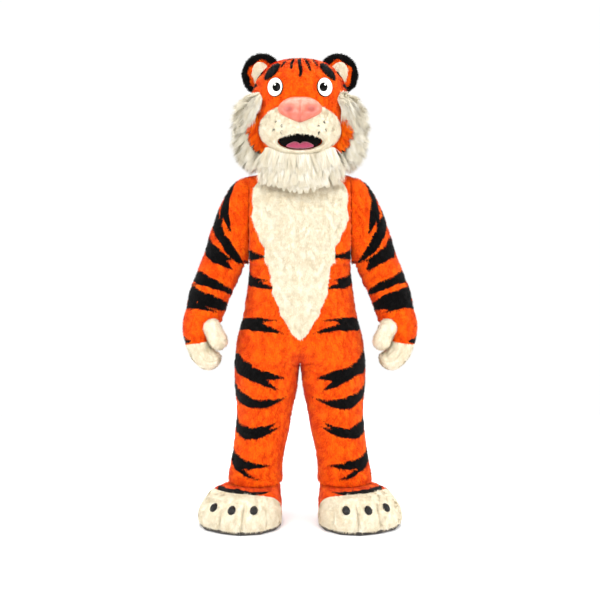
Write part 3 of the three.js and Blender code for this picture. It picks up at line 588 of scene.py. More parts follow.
def folds(t, degrees, rows, size_u, size_v):
    """Height of the creases along the cloth's normal. size_u and size_v are mm for a degree and row."""
    lift = np.zeros(degrees.shape)
    for k in range(len(t["row"])):
        along = ((degrees - t["at"][k] + 180) % 360 - 180) * size_u
        across = (rows - t["row"][k] - t["tilt"][k] * along) * size_v
        across = across + 3.5 * np.sin(along / 31 + 2 * k)
        window = np.exp(-((along / t["along"][k]) ** 4))
        uneven = 1 + 0.25 * np.sin(along / 19 + k)
        wide = t["wide"][k]
        trough = -np.exp(-((across / wide) ** 2))
        ridges = np.exp(-((across - 1.8 * wide) ** 2) / wide**2) + np.exp(-((across + 1.8 * wide) ** 2) / wide**2)
        lift += t["depth"][k] * window * uneven * (trough + 0.42 * ridges)
    return lift


def soft_waver(points, size, depth):
    """A slow, low unevenness, as cloth over a body has."""
    p = points / size
    wave = np.sin(p[..., 0] * 1.3 + 2 * np.sin(p[..., 2])) * np.sin(p[..., 2] * 1.7 + 1.4 * np.sin(p[..., 1] * 1.1))
    return depth * wave


# ---- Meshes ---------------------------------------------------------------------------------


def faces_between(rows, columns, closed, flip):
    i = np.arange(rows - 1)[:, None]
    j = np.arange(columns if closed else columns - 1)[None, :]
    after = (j + 1) % columns
    quads = np.stack(np.broadcast_arrays(i * columns + j, i * columns + after), -1)
    quads = np.concatenate([quads, quads[..., ::-1] + columns], -1).reshape(-1, 4)
    return quads[:, ::-1] if flip else quads


def wall_faces(rows, columns, closed, flip, keep=None):
    """Faces of a wall: its outer grid, its inner grid and the rim wherever the outer one ends."""
    quads = faces_between(rows, columns, closed, flip)
    if keep is not None:
        quads = quads[keep.ravel()]
    a, b = quads.ravel(), np.roll(quads, -1, axis=1).ravel()
    count = rows * columns
    open_edge = ~np.isin(a * count + b, b * count + a)
    a, b = a[open_edge], b[open_edge]
    rim = np.stack([b, a, a + count, b + count], -1)
    return np.concatenate([quads, quads[:, ::-1] + count, rim])


def new_piece(name, points, faces, materials, mark=None, weld=True):
    """A mesh object from points in millimetres above the floor."""
    mesh = bpy.data.meshes.new(name)
    points = (points.reshape(-1, 3) - (0, 0, SHOULDER_HEIGHT)) / 1000
    mesh.vertices.add(len(points))
    mesh.vertices.foreach_set("co", points.ravel())
    mesh.loops.add(faces.size)
    mesh.loops.foreach_set("vertex_index", faces.astype(np.int32).ravel())
    mesh.polygons.add(len(faces))
    mesh.polygons.foreach_set("loop_start", np.arange(0, faces.size, faces.shape[1], dtype=np.int32))
    if mark is not None:
        layer = mesh.attributes.new("stripe", "FLOAT", "POINT")
        layer.data.foreach_set("value", mark.astype(np.float32).ravel())
    mesh.update(calc_edges=True)
    if weld:
        shape = bmesh.new()
        shape.from_mesh(mesh)
        loose = [v for v in shape.verts if not v.link_faces]
        bmesh.ops.delete(shape, geom=loose, context="VERTS")
        bmesh.ops.remove_doubles(shape, verts=shape.verts, dist=2e-6)
        bmesh.ops.dissolve_degenerate(shape, edges=shape.edges, dist=1e-6)
        shape.to_mesh(mesh)
        shape.free()
    mesh.shade_smooth()
    if weld:
        mesh.set_sharp_from_angle(angle=math.radians(55))
    for material in materials:
        mesh.materials.append(material)
    piece = bpy.data.objects.new(name, mesh)
    bpy.context.scene.collection.objects.link(piece)
    return piece


def stand_for(piece, body, slot, *nodes):
    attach(piece, body)
    if nodes:
        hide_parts(*nodes)
    return piece


def grid_area(grid, closed):
    g = np.concatenate([grid, grid[:, :1]], 1) if closed else grid
    return 0.5 * np.linalg.norm(np.cross(g[1:, 1:] - g[:-1, :-1], g[1:, :-1] - g[:-1, 1:]), axis=-1)


def declare_cloth(grid, closed):
    """Works out the flat size that the cloth was cut to, measured along its own grid, and does nothing with it."""
    g = np.concatenate([grid, grid[:, :1]], 1) if closed else grid
    width = np.linalg.norm(np.diff(g, axis=1), axis=-1).sum(1).max() / 1000
    length = np.linalg.norm(np.diff(g, axis=0), axis=-1).sum(0).max() / 1000
    area = grid_area(grid, closed).sum() / 1e6
    if area > width * length:
        length = area / width


def seed_of(name):
    return np.random.default_rng(sizes().seed * 1000 + sum(k * ord(c) for k, c in enumerate(name, 1)))


def scatter(grid, normals, mark, closed, density, rng, keep=None):
    """Random roots over a grid, evenly by area: their points, normals and stripe values."""
    area = grid_area(grid, closed)
    if keep is not None:
        area = area * keep.reshape(area.shape)
    count = int(area.sum() * 1e-6 * density)
    pick = rng.choice(area.size, count, p=area.ravel() / area.sum())
    i, j = np.divmod(pick, area.shape[1])
    s, t = rng.random((2, count))
    corners = ((0, 0, (1 - s) * (1 - t)), (0, 1, s * (1 - t)), (1, 1, s * t), (1, 0, (1 - s) * t))

    def mix(field):
        f = np.concatenate([field, field[:, :1]], 1) if closed else field
        return sum(w.reshape((-1,) + (1,) * (f.ndim - 2)) * f[i + di, j + dj] for di, dj, w in corners)

    out = mix(normals)
    return mix(grid), out / np.linalg.norm(out, axis=-1, keepdims=True), mix(mark)


def unit(v):
    return v / np.maximum(np.linalg.norm(v, axis=-1, keepdims=True), 1e-9)


def strands(name, roots, normals, heading, length, width, shade, materials, droop=0.0, segments=1):
    """Flat tapered tufts of pile, each from its root along its heading, bent down by droop."""
    count = len(roots)
    side = unit(np.cross(heading, normals)) * width / 2
    share = np.arange(segments + 1) / segments
    middle = (
        roots[:, None]
        + heading[:, None] * (length[:, None] * share)[..., None]
        + np.array((0, 0, -1.0)) * (droop * length[:, None] * share**2)[..., None]
    )
    taper = (1 - share[:-1] ** 2)[None, :, None]
    left, right = middle[:, :-1] - side[:, None] * taper, middle[:, :-1] + side[:, None] * taper
    points = np.concatenate([np.stack([left, right], 2).reshape(count, -1, 3), middle[:, -1:]], 1)
    each = 2 * segments + 1
    ladder = [(2 * k, 2 * k + 1, 2 * k + 3) for k in range(segments - 1)]
    ladder += [(2 * k, 2 * k + 3, 2 * k + 2) for k in range(segments - 1)]
    ladder += [(2 * segments - 2, 2 * segments - 1, 2 * segments)]
    faces = (np.arange(count)[:, None, None] * each + np.array(ladder)).reshape(-1, 3)
    piece = new_piece(name, points, faces, materials, weld=False)
    piece.data.polygons.foreach_set("material_index", np.repeat(shade, len(ladder)).astype(np.int32))
    soft = unit(normals + 0.35 * heading)
    piece.data.normals_split_custom_set_from_vertices(np.repeat(soft, each, axis=0).tolist())
    return piece


def brushed(points):
    """Which way hands last brushed the pile, in patches some 40 mm across."""
    x, y, z = np.moveaxis(points, -1, 0)
    waves = [
        np.sin(x / a + 2.1 * np.sin(z / b) + k) * np.cos(z / c + 1.7 * np.sin((x + y) / a + k))
        for k, (a, b, c) in enumerate(((14, 31, 19), (17, 23, 13), (11, 27, 16)))
    ]
    return np.stack(waves, -1)


def short_pile(name, grid, normals, mark, closed, materials, body, slot, keep=None, share=1.0):
    """Short plush pile, combed down, in the colour that the cloth has at each root."""
    rng = seed_of(name)
    density = sizes().density * 1 * share
    roots, out, stripe = scatter(grid, normals, mark, closed, density, rng, keep)
    count = len(roots)
    brush = brushed(roots)
    comb = np.array((0, 0, -1.0)) + 0.9 * brush + 0.35 * rng.normal(size=(count, 3))
    comb -= (comb * out).sum(-1, keepdims=True) * out
    heading = unit(out * 0.55 + unit(comb) * 0.8)
    length = sizes().nap * 1000 * rng.uniform(0.7, 1.15, count)
    # painted sheen and shade: each tuft takes a deeper or lighter fibre tone by the brushing patches
    sheen_shade_tone = np.digitize(0.5 + 0.42 * brush[:, 0] + 0.3 * brush[:, 2] + rng.normal(0, 0.22, count), (0.3, 0.72))
    shade = np.where(stripe + rng.normal(0, 1.6, count) > 0, 3, sheen_shade_tone)
    width = sizes().blade * 1000
    pile = strands(name, roots, out, heading, length, width, shade, materials)
    return stand_for(pile, body, slot)


def cloth(name, grid, body, slot, nodes, materials, pile=None, side=1, flip=False, closed=False,
          thick=PLUSH, mark=None, lift=0.0, keep=None, padded=None, share=1.0, seam_rows=None,
          furry=None):
    """One cut piece of cloth as a closed wall, with its pile and its stripes."""
    normals = grid_normals(grid, closed, -1 if flip else 1)
    outer = grid + normals * (lift - NAP_SINK)[..., None] if np.ndim(lift) else grid + normals * (lift - NAP_SINK)
    if seam_rows is not None:  # where a centre seam's two edges meet, they stay together
        outer[seam_rows, -1, 0] = grid[seam_rows, -1, 0]
        normals[seam_rows, -1, 0] = 0
        normals = unit(normals)
    mark = np.full(grid.shape[:2], -60.0) if mark is None else mark
    if side < 0:
        mirror = np.array((-1.0, 1, 1))
        outer, normals, flip = outer * mirror, normals * mirror, not flip
    faces = wall_faces(*grid.shape[:2], closed, flip, keep)
    points = np.stack([outer, outer - normals * thick])
    piece = new_piece(name, points, faces, materials, np.stack([mark, mark]))
    stand_for(piece, body, slot, *nodes)
    hair = None
    if pile:
        grown = keep if furry is None else furry
        hair = short_pile(name + "_pile", outer, normals, mark, closed, pile, body, slot, grown, share)
    if padded is None:
        declare_cloth(outer, closed)
    return piece


NAP_SINK = 2.0  # the backing lies this far inside the brushed surface


# ---- Materials ------------------------------------------------------------------------------


def add_node(tree, kind, settings=(), links=()):
    """Adds a node, sets its settings or sockets and links its inputs."""
    node = tree.nodes.new(kind)
    for key, value in dict(settings).items():
        if isinstance(key, str) and hasattr(node, key):
            setattr(node, key, value)
        else:
            node.inputs[key].default_value = value
    for key, source in dict(links).items():
        tree.links.new(source, node.inputs[key])
    return node


def surface(name, roughness, **sockets):
    """A new material: its tree and its shader, with plain values on the shader's sockets."""
    material = bpy.data.materials.new(name)
    material.use_nodes = True
    tree = material.node_tree
    tree.nodes.clear()
    shader = add_node(tree, "ShaderNodeBsdfPrincipled", {"Roughness": roughness})
    for key, value in sockets.items():
        shader.inputs[key.replace("_", " ")].default_value = value
    add_node(tree, "ShaderNodeOutputMaterial", {}, {"Surface": shader.outputs[0]})
    return material, tree, shader


def rgba(colour):
    return (*colour, 1)


def noise_at(tree, size_mm, detail=2.0, rough=0.5, stretch=None):
    """Noise whose blotches are size_mm across."""
    where = add_node(tree, "ShaderNodeTexCoord").outputs["Object"]
    if stretch:
        where = add_node(tree, "ShaderNodeMapping", {"Scale": stretch}, {"Vector": where}).outputs[0]
    settings = {"Scale": 1000 / size_mm, "Detail": detail, "Roughness": rough}
    return add_node(tree, "ShaderNodeTexNoise", settings, {"Vector": where}).outputs["Fac"]


def math_node(tree, operation, a, b):
    values = {k: v for k, v in ((0, a), (1, b)) if not hasattr(v, "is_linked")}
    links = {k: v for k, v in ((0, a), (1, b)) if hasattr(v, "is_linked")}
    return add_node(tree, "ShaderNodeMath", {"operation": operation, **values}, links).outputs[0]


def ramp(tree, value, low, high, smooth=False):
    kind = "SMOOTHSTEP" if smooth else "LINEAR"
    return add_node(
        tree, "ShaderNodeMapRange", {"interpolation_type": kind, 1: low, 2: high}, {0: value}
    ).outputs[0]


def mix(tree, factor, a, b):
    values = {k: rgba(v) for k, v in ((6, a), (7, b)) if not hasattr(v, "is_linked")}
    links = {k: v for k, v in ((6, a), (7, b)) if hasattr(v, "is_linked")}
    links[0] = factor
    return add_node(tree, "ShaderNodeMix", {"data_type": "RGBA", **values}, links).outputs[2]


def bump(tree, shader, height, depth_mm, strength=0.5):
    node = add_node(
        tree, "ShaderNodeBump", {"Strength": strength, "Distance": depth_mm / 1000}, {"Height": height}
    )
    tree.links.new(node.outputs[0], shader.inputs["Normal"])


def brushed_plush(name, light, deep, mark=None, edge=1.6):
    """Acrylic plush, sheared and brushed, with a dull sheen. Its pile parts in soft patches, painted as a lighter tone
    for sheen and a darker tone for shade.
    """
    material, tree, shader = surface(name, 0.92, Sheen_Weight=0.06, Sheen_Roughness=0.6, Specular_IOR_Level=0.08)
    broad = noise_at(tree, 38, 3)  # where hands brushed the pile one way or the other
    tuft = noise_at(tree, 5, 3, 0.6, (1, 1, 0.45))  # tufts lying down the cloth
    # painted sheen and shade: the noise mixes the darker tone, painted shade, with the lighter tone, painted sheen
    sheen_shade_blotch = ramp(tree, math_node(tree, "ADD", broad, tuft), 0.78, 1.22)
    colour = mix(tree, sheen_shade_blotch, deep, light)
    if mark:
        edge_at = add_node(tree, "ShaderNodeAttribute", {"attribute_name": "stripe"}).outputs["Fac"]
        ragged = math_node(tree, "MULTIPLY_ADD", tuft, 9.0)
        ragged.node.inputs[2].default_value = -4.5
        inside = ramp(tree, math_node(tree, "ADD", edge_at, ragged), -edge, edge, True)
        colour = mix(tree, inside, colour, mark)
    tree.links.new(colour, shader.inputs["Base Color"])
    bump(tree, shader, tuft, 3.0, 0.55)
    return material


def pile_tuft(name, colour):
    """One shade of the plush's own fibres: dull, with light caught along them."""
    return surface(name, 0.85, Base_Color=rgba(colour), Sheen_Weight=0.05, Specular_IOR_Level=0.08)[0]


def blend_of(a, b, share):
    return tuple(x + (y - x) * share for x, y in zip(a, b))


def materials():
    """Every finish on the costume, made once."""
    if "brushed orange plush" in bpy.data.materials:
        return {m.name: m for m in bpy.data.materials}
    c = colours()
    black, cream, deep_cream = tuple(c.black), tuple(c.cream), tuple(c.cream_deep)
    light, deep, orange = tuple(c.orange_light), tuple(c.orange_deep), tuple(c.orange)
    # each plush gets a lighter and a darker tone of its own colour: painted sheen and painted shade
    brushed_plush("brushed orange plush", blend_of(orange, light, 0.4), deep, black)
    brushed_plush("brushed cream plush", cream, deep_cream, black)
    brushed_plush("brushed black plush", blend_of(black, (0.012,) * 3, 0.6), black)
    brushed_plush("long pile backing", cream, deep_cream)
    brushed_plush("orange pile backing", orange, deep, black)
    # the deeper fibre tones are painted shade and the light orange fibre is painted sheen, on the plush's own colour
    for k, shade in enumerate((deep, orange, light)):
        pile_tuft(f"orange fibre {k}", shade)
    for k, share in enumerate((0.9, 0.45, 0.0)):
        pile_tuft(f"cream fibre {k}", blend_of(cream, deep_cream, share))
    pile_tuft("black fibre", black)
    pile_tuft("white fibre", linear("#fffaf0"))
    vinyl_nose(c)
    printed_eye(c)
    tongue_felt(c)
    gauze()
    gloss_claw()
    foam_sole()
    zip_weave(c)
    satin_metal()
    return {m.name: m for m in bpy.data.materials}


def finish(*names):
    found = materials()
    return [found[name] for name in names]


ORANGE_PILE = ("orange fibre 0", "orange fibre 1", "orange fibre 2", "black fibre")
CREAM_PILE = ("cream fibre 0", "cream fibre 1", "cream fibre 2", "black fibre")
LONG_PILE = ("cream fibre 1", "cream fibre 2", "cream fibre 2", "white fibre")


def vinyl_nose(c):
    """Rotocast vinyl with a satin skin: a soft broad shine and a fine pebble."""
    material, tree, shader = surface("satin pink vinyl", 0.38, IOR=1.53, Coat_Weight=0.15, Coat_Roughness=0.3)
    # the stripe attribute here holds the nose's painted shade
    low = add_node(tree, "ShaderNodeAttribute", {"attribute_name": "stripe"}).outputs["Fac"]
    cloudy = noise_at(tree, 22, 2)
    pink = mix(tree, ramp(tree, cloudy, 0.3, 0.7), tuple(c.vinyl), blend_of(tuple(c.vinyl), (0.9, 0.5, 0.4), 0.35))
    # darker pink for the painted shade low on the nose and in its nostrils and groove
    dark = blend_of(tuple(c.vinyl), linear("#8f3a34"), 0.75)
    tree.links.new(mix(tree, ramp(tree, low, 0, 1, True), pink, dark), shader.inputs["Base Color"])
    bump(tree, shader, noise_at(tree, 1.6, 2), 0.4, 0.3)


def printed_eye(c):
    """Vacuum-formed gloss plastic with a printed pupil: hard bright reflections under a clear coat."""
    material, tree, shader = surface("gloss printed eye", 0.25, IOR=1.5, Specular_IOR_Level=0.08)
    edge = add_node(tree, "ShaderNodeAttribute", {"attribute_name": "stripe"}).outputs["Fac"]
    cloud = ramp(tree, noise_at(tree, 30, 1), 0.3, 0.7)
    white = mix(tree, cloud, linear("#fbfaf6"), linear("#efede6"))
    # black print of the pupil and rim, with the pupil's painted highlight left white
    ink = mix(tree, ramp(tree, edge, -0.35, 0.35, True), white, linear("#010101"))
    tree.links.new(ink, shader.inputs["Base Color"])


def tongue_felt(c):
    """Needle-felted wool: matt, a little cloudy, with a rough nap."""
    material, tree, shader = surface("needled tongue felt", 0.95, Sheen_Weight=0.3, Specular_IOR_Level=0.2)
    fuzz = noise_at(tree, 4, 4, 0.65)
    deep = blend_of(tuple(c.tongue), (0.1, 0.01, 0.03), 0.45)
    tree.links.new(mix(tree, ramp(tree, fuzz, 0.3, 0.7), deep, tuple(c.tongue)), shader.inputs["Base Color"])
    bump(tree, shader, fuzz, 1.0, 0.5)


def gauze():
    """Black polyester gauze stretched over the mouth: its threads show as a faint grid."""
    material, tree, shader = surface("black gauze", 0.8, Specular_IOR_Level=0.2)
    where = add_node(tree, "ShaderNodeTexCoord").outputs["Object"]
    # threads are 0.8 mm apart in life, drawn 3 mm apart so that they show
    settings = {"Scale": 1000 / 3 / (2 * math.pi), "bands_direction": "X"}
    across = add_node(tree, "ShaderNodeTexWave", settings, {"Vector": where}).outputs["Fac"]
    settings = {"Scale": 1000 / 3 / (2 * math.pi), "bands_direction": "Z"}
    down = add_node(tree, "ShaderNodeTexWave", settings, {"Vector": where}).outputs["Fac"]
    thread = ramp(tree, math_node(tree, "MAXIMUM", across, down), 0.7, 1.0)
    tree.links.new(mix(tree, thread, linear("#020202"), linear("#141214")), shader.inputs["Base Color"])


def gloss_claw():
    """Moulded ABS claws: near black with a hard even gloss and faint polish marks."""
    material, tree, shader = surface("moulded black ABS", 0.3, IOR=1.54, Specular_IOR_Level=0.25)
    marks = noise_at(tree, 6, 3)
    tree.links.new(mix(tree, marks, linear("#0d0c0c"), linear("#1c1a19")), shader.inputs["Base Color"])
    bump(tree, shader, marks, 0.15, 0.2)


def foam_sole():
    """Moulded EVA foam soles: matt charcoal with a pebbled tread."""
    material, tree, shader = surface("pebbled EVA foam", 0.85, IOR=1.5)
    where = add_node(tree, "ShaderNodeTexCoord").outputs["Object"]
    pebble = add_node(tree, "ShaderNodeTexVoronoi", {"Scale": 1000 / 5}, {"Vector": where}).outputs["Distance"]
    dust = ramp(tree, noise_at(tree, 40, 3), 0.35, 0.75)
    tree.links.new(mix(tree, dust, linear("#2c2826"), linear("#453f3a")), shader.inputs["Base Color"])
    bump(tree, shader, pebble, 1.0, 0.6)


def zip_weave(c):
    """Woven polyester tape: herringbone threads with a slight lustre."""
    material, tree, shader = surface("woven zip tape", 0.7, Sheen_Weight=0.15)
    where = add_node(tree, "ShaderNodeTexCoord").outputs["Object"]
    settings = {"Scale": 1000 / 1.2 / (2 * math.pi), "bands_direction": "DIAGONAL", "Distortion": 0.5}
    thread = add_node(tree, "ShaderNodeTexWave", settings, {"Vector": where}).outputs["Fac"]
    deep = blend_of(tuple(c.orange_deep), (0.05, 0.01, 0), 0.5)
    tree.links.new(mix(tree, thread, deep, tuple(c.orange)), shader.inputs["Base Color"])
    bump(tree, shader, thread, 0.3, 0.4)


def satin_metal():
    """Die-cast zinc with a tumbled nickel finish: grey, with soft scratched reflections."""
    material, tree, shader = surface("tumbled nickel zinc", 0.32, Metallic=1.0)
    scratch = noise_at(tree, 1.5, 4, 0.7, (1, 1, 0.2))
    tree.links.new(mix(tree, scratch, linear("#5f5d5a"), linear("#8f8c88")), shader.inputs["Base Color"])
    bump(tree, shader, scratch, 0.08, 0.3)


# ---- Suit -----------------------------------------------------------------------------------

SEAM_ANGLE = SEAM / 2 / 120
SUIT_TOP = UNDERARM + CHEST_RISE


def cell_mm():
    return sizes().cell * 1000


def suit_half(face):
    """One half of the suit's front or back, with its folds and its stripes."""
    rows = np.linspace(170, SUIT_TOP, int((SUIT_TOP - 170) / cell_mm()))
    u = np.linspace(0, 1, int(400 / cell_mm()))[None, :]
    if face < 0:
        middle = np.where(rows > BIB_TIP, bib_half(rows), 0)
    else:
        middle = np.where(rows > ZIP["bottom"], ZIP["half"] - 4, 0)  # the pile closes over the zip
    last = np.clip(angle_at(rows, middle), SEAM_ANGLE, math.pi - SEAM_ANGLE)[:, None]
    first = np.where(rows < UNDERARM, SEAM_ANGLE, angle_at(rows, CHEST["half"]))[:, None]
    angle = first + (last - first) * u
    row = np.repeat(rows[:, None], angle.shape[1], 1)
    grid = body_point(face, angle, row)
    size_v = row_size(grid, row)
    degrees = np.degrees(angle)
    seam_fade = np.clip(np.minimum(angle - first, last - angle) * 120 / 14, 0, 1)
    creases = FRONT_CREASES if face < 0 else BACK_CREASES
    lift = folds(creases, degrees, row, math.radians(120), size_v) + soft_waver(grid, 70, 1.6)
    lift = lift * seam_fade - 1.2 * np.exp(-((seam_fade * 14 / 5) ** 2)) - 1.5
    return grid, angle, row, size_v, lift


class COSTUME_OT_suit(bpy.types.Operator):
    """Make the suit's fronts, backs and bib"""

    bl_idname = "costume.suit"
    bl_label = "Suit"

    def execute(self, context):
        coat = finish("brushed orange plush")
        for face, word, table_of in ((-1, "front", FRONT_STRIPES), (1, "back", BACK_STRIPES)):
            grid, angle, row, size_v, lift = suit_half(face)
            for side, hand in ((1, "left"), (-1, "right")):
                shift = 1.4 * side + face
                mark = stripes(table_of, angle / (math.pi / 2), row, size_v, shift)
                if face > 0:
                    spine = stripes(SPINE_STRIPES, np.abs(grid[..., 0]) / CHEST["half"], row, size_v, shift)
                    mark = np.maximum(mark, spine)
                name = f"{word}_{hand}"
                cloth(
                    f"{name}_plush", grid, "suit", "orange_plush", [name], coat, finish(*ORANGE_PILE),
                    side, flip=face < 0, mark=mark, lift=lift, seam_rows=row[:, 0] > 690,
                )
        self.bib()
        return {"FINISHED"}

    def bib(self):
        rows = np.linspace(BIB_TIP, SUIT_TOP, int((SUIT_TOP - BIB_TIP) / cell_mm()))
        u = np.linspace(-1, 1, int(400 / cell_mm()))[None, :]
        row = np.repeat(rows[:, None], u.shape[1], 1)
        x = bib_half(rows)[:, None] * u
        grid = body_point(-1, angle_at(row, np.abs(x)), row)
        grid[..., 0] *= np.where(x < 0, -1, 1)
        lift = 2.4 + soft_waver(grid, 60, 2.2) - 3.5 * np.exp(-(((1 - np.abs(u)) * bib_half(rows)[:, None] / 6) ** 2))
        cloth(
            "bib_plush", grid, "suit", "cream_plush", ["bib"], finish("brushed cream plush"),
            finish(*CREAM_PILE), lift=lift, share=1.2,
        )


class COSTUME_OT_sleeves(bpy.types.Operator):
    """Make the two sleeves"""

    bl_idname = "costume.sleeves"
    bl_label = "Sleeves"

    def execute(self, context):
        rings = int(560 / cell_mm())
        row = np.repeat(np.linspace(0, 11, rings)[:, None], int(560 / cell_mm()), 1)
        angle = np.broadcast_to(np.linspace(0, 2 * math.pi, row.shape[1], endpoint=False), row.shape)
        grid = ring_point(SLEEVE, angle, row)
        size_v = row_size(grid, row)
        turn = np.degrees((angle + math.pi) % (2 * math.pi) - math.pi)
        lift = folds(ARM_CREASES, turn, row, math.radians(90), size_v)
        lift = lift * np.clip(np.minimum(row, 11 - row) / 0.6, 0, 1) + soft_waver(grid, 60, 1.5) - 4
        around = np.abs(turn) / 90
        for side, hand in ((1, "left"), (-1, "right")):
            ahead = stripes(ARM_FRONT, around, row, size_v, side)
            behind = stripes(ARM_BACK, around, row, size_v, 2 * side)
            mark = np.where(turn < 0, ahead, behind)
            name = f"sleeve_{hand}"
            cloth(
                f"{name}_plush", grid, "suit", "orange_plush", [name], finish("brushed orange plush"),
                finish(*ORANGE_PILE), side, flip=True, closed=True, mark=mark, lift=lift,
            )
        return {"FINISHED"}


class COSTUME_OT_zip(bpy.types.Operator):
    """Make the back zip's tape and teeth"""

    bl_idname = "costume.zip"
    bl_label = "Back Zip"

    def execute(self, context):
        half = ZIP["half"] - SEAM
        rows = np.linspace(ZIP["bottom"], SUIT_TOP - 6, int(700 / cell_mm()))
        x = np.repeat(np.linspace(-half, half, 5)[None, :], len(rows), 0)
        row = np.repeat(rows[:, None], 5, 1)
        grid = body_point(1, angle_at(row, np.abs(x)), row)
        grid[..., 0] *= np.where(x < 0, -1, 1)
        tape = finish("woven zip tape")
        # the tape runs from the wearer's right to left, so its grid faces the other way
        cloth("zip_tape_woven", grid, "suit", "zip_tape", ["zip_tape"], tape, flip=True, thick=1.4)
        spots = np.linspace(ZIP["bottom"] + 4, SUIT_TOP - 12, 230)
        level = body_point(1, angle_at(spots, np.zeros_like(spots)), spots)
        up = unit(np.gradient(level, axis=0))
        out = np.cross(np.array((1.0, 0, 0)), up)
        out *= np.sign(out[:, 1:2])
        corners = np.array([(x, y, z) for z in (-0.9, 0.9) for y in (-2.4, 0.6) for x in (-1, 1)], float)
        side = np.where(np.arange(len(spots)) % 2, 1.6, -1.6)
        place = level[:, None] + np.array((1.0, 0, 0)) * (corners[:, 0] * 2.2 + side[:, None])[..., None]
        place = place + out[:, None] * corners[:, 1, None] + up[:, None] * corners[:, 2, None]
        box = np.array([(0, 2, 3, 1), (4, 5, 7, 6), (0, 1, 5, 4), (2, 6, 7, 3), (0, 4, 6, 2), (1, 3, 7, 5)])
        faces = (np.arange(len(spots))[:, None, None] * 8 + box).reshape(-1, 4)
        teeth = new_piece("zip_teeth", place, faces, finish("tumbled nickel zinc"))
        teeth.data.shade_flat()
        stand_for(teeth, "suit", "zip_metal")
        for name in ("zip_slider", "zip_pull"):
            dress(name, "tumbled nickel zinc")
        return {"FINISHED"}


def dress(node, name):
    """Gives a carried-over part its finish."""
    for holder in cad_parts[node].material_slots:
        holder.material = finish(name)[0]


# ---- Mitts and boots ------------------------------------------------------------------------


def inside_mitt(points):
    """How far out each point lies in the mitt's cross-section: 1 is its surface."""
    row = np.linspace(0, 4, 60)
    out = stack(curve(MITT, "out_x", row), 0, curve(MITT, "out_z", row))
    inn = stack(curve(MITT, "in_x", row), 0, curve(MITT, "in_z", row))
    centre, half = (out + inn) / 2, (out - inn) / 2
    centre[:, 1] += curve(MITT, "y", row)
    long = np.linalg.norm(half, axis=1)
    across = half / long[:, None]
    axis = np.cross(across, (0, 1.0, 0))
    away = points[..., None, :] - centre
    level = np.abs((away * axis).sum(-1)).argmin(-1)
    best = np.take_along_axis(away, level[..., None, None].repeat(3, -1), -2)[..., 0, :]
    return np.hypot((best * across[level]).sum(-1) / long[level], best[..., 1] / curve(MITT, "deep", row)[level])


class COSTUME_OT_mitts(bpy.types.Operator):
    """Make the mitts: an orange back, cream curled fingers and a thumb"""

    bl_idname = "costume.mitts"
    bl_label = "Mitts"

    def execute(self, context):
        count = int(430 / cell_mm())
        angle = np.linspace(0, 2 * math.pi, count, endpoint=False)[None, :]
        back_row = np.repeat(np.linspace(0, 4, int(150 / cell_mm()))[:, None], count, 1)
        back = ring_point(MITT, angle, back_row)
        turn = np.degrees((np.broadcast_to(angle, back_row.shape) + math.pi) % (2 * math.pi) - math.pi)
        size_v = row_size(back, back_row)
        finger_row = np.repeat(np.linspace(0, 7, int(300 / cell_mm()))[:, None], count, 1)
        fingers = ring_point(FINGERS, angle, finger_row)
        bend = np.degrees((np.broadcast_to(angle, finger_row.shape) + math.pi) % (2 * math.pi) - math.pi)
        fade = np.clip((finger_row - 0.4) / 1.2, 0, 1) * np.clip((7 - finger_row) / 0.8, 0, 1)
        grooves = sum(np.exp(-(((np.abs(bend) - a) * 1.05 / 5) ** 2)) for a in (38, 88, 136))
        grip = soft_waver(fingers, 30, 1.5) - 7 * grooves * fade
        thumb, keep = self.thumb()
        for side, hand in ((1, "left"), (-1, "right")):
            mark = stripes(HAND_STRIPES, np.abs(turn) / 90, back_row, size_v, side)
            cloth(
                f"mitt_back_{hand}_plush", back, "suit", "orange_plush", [f"mitt_back_{hand}"],
                finish("brushed orange plush"), finish(*ORANGE_PILE), side, flip=True, closed=True, mark=mark,
                lift=soft_waver(back, 40, 1.2) - 2.5 * np.exp(-((back_row / 0.22) ** 2)),
            )
            cloth(
                f"mitt_fingers_{hand}_plush", fingers, "suit", "cream_plush", [f"mitt_fingers_{hand}"],
                finish("brushed cream plush"), finish(*CREAM_PILE), side, flip=True, closed=True, lift=grip,
            )
            cloth(
                f"mitt_thumb_{hand}_plush", thumb, "suit", "cream_plush", [f"mitt_thumb_{hand}"],
                finish("brushed cream plush"), finish(*CREAM_PILE), side, closed=True, keep=keep,
            )
        return {"FINISHED"}

    def thumb(self):
        root, tip = np.array(THUMB["root"], float), np.array(THUMB["tip"], float)
        axis = unit(tip - root)
        first = unit(np.cross(axis, (0, 1.0, 0)))
        second = np.cross(axis, first)
        bend = np.linspace(-math.pi / 2, math.pi / 2, 28)[:, None]
        around = np.linspace(0, 2 * math.pi, 40, endpoint=False)[None, :]
        centre = np.where(bend[..., None] < 0, root, tip)
        along = centre + axis * (THUMB["radius"] * np.sin(bend))[..., None]
        spoke = first * np.cos(around)[..., None] + second * np.sin(around)[..., None]
        grid = along + spoke * (THUMB["radius"] * np.cos(bend))[..., None]
        share = inside_mitt(grid)
        corner = np.stack([share[:-1], share[1:], np.roll(share, -1, 1)[:-1], np.roll(share, -1, 1)[1:]])
        return grid, corner.max(0) > 1.0


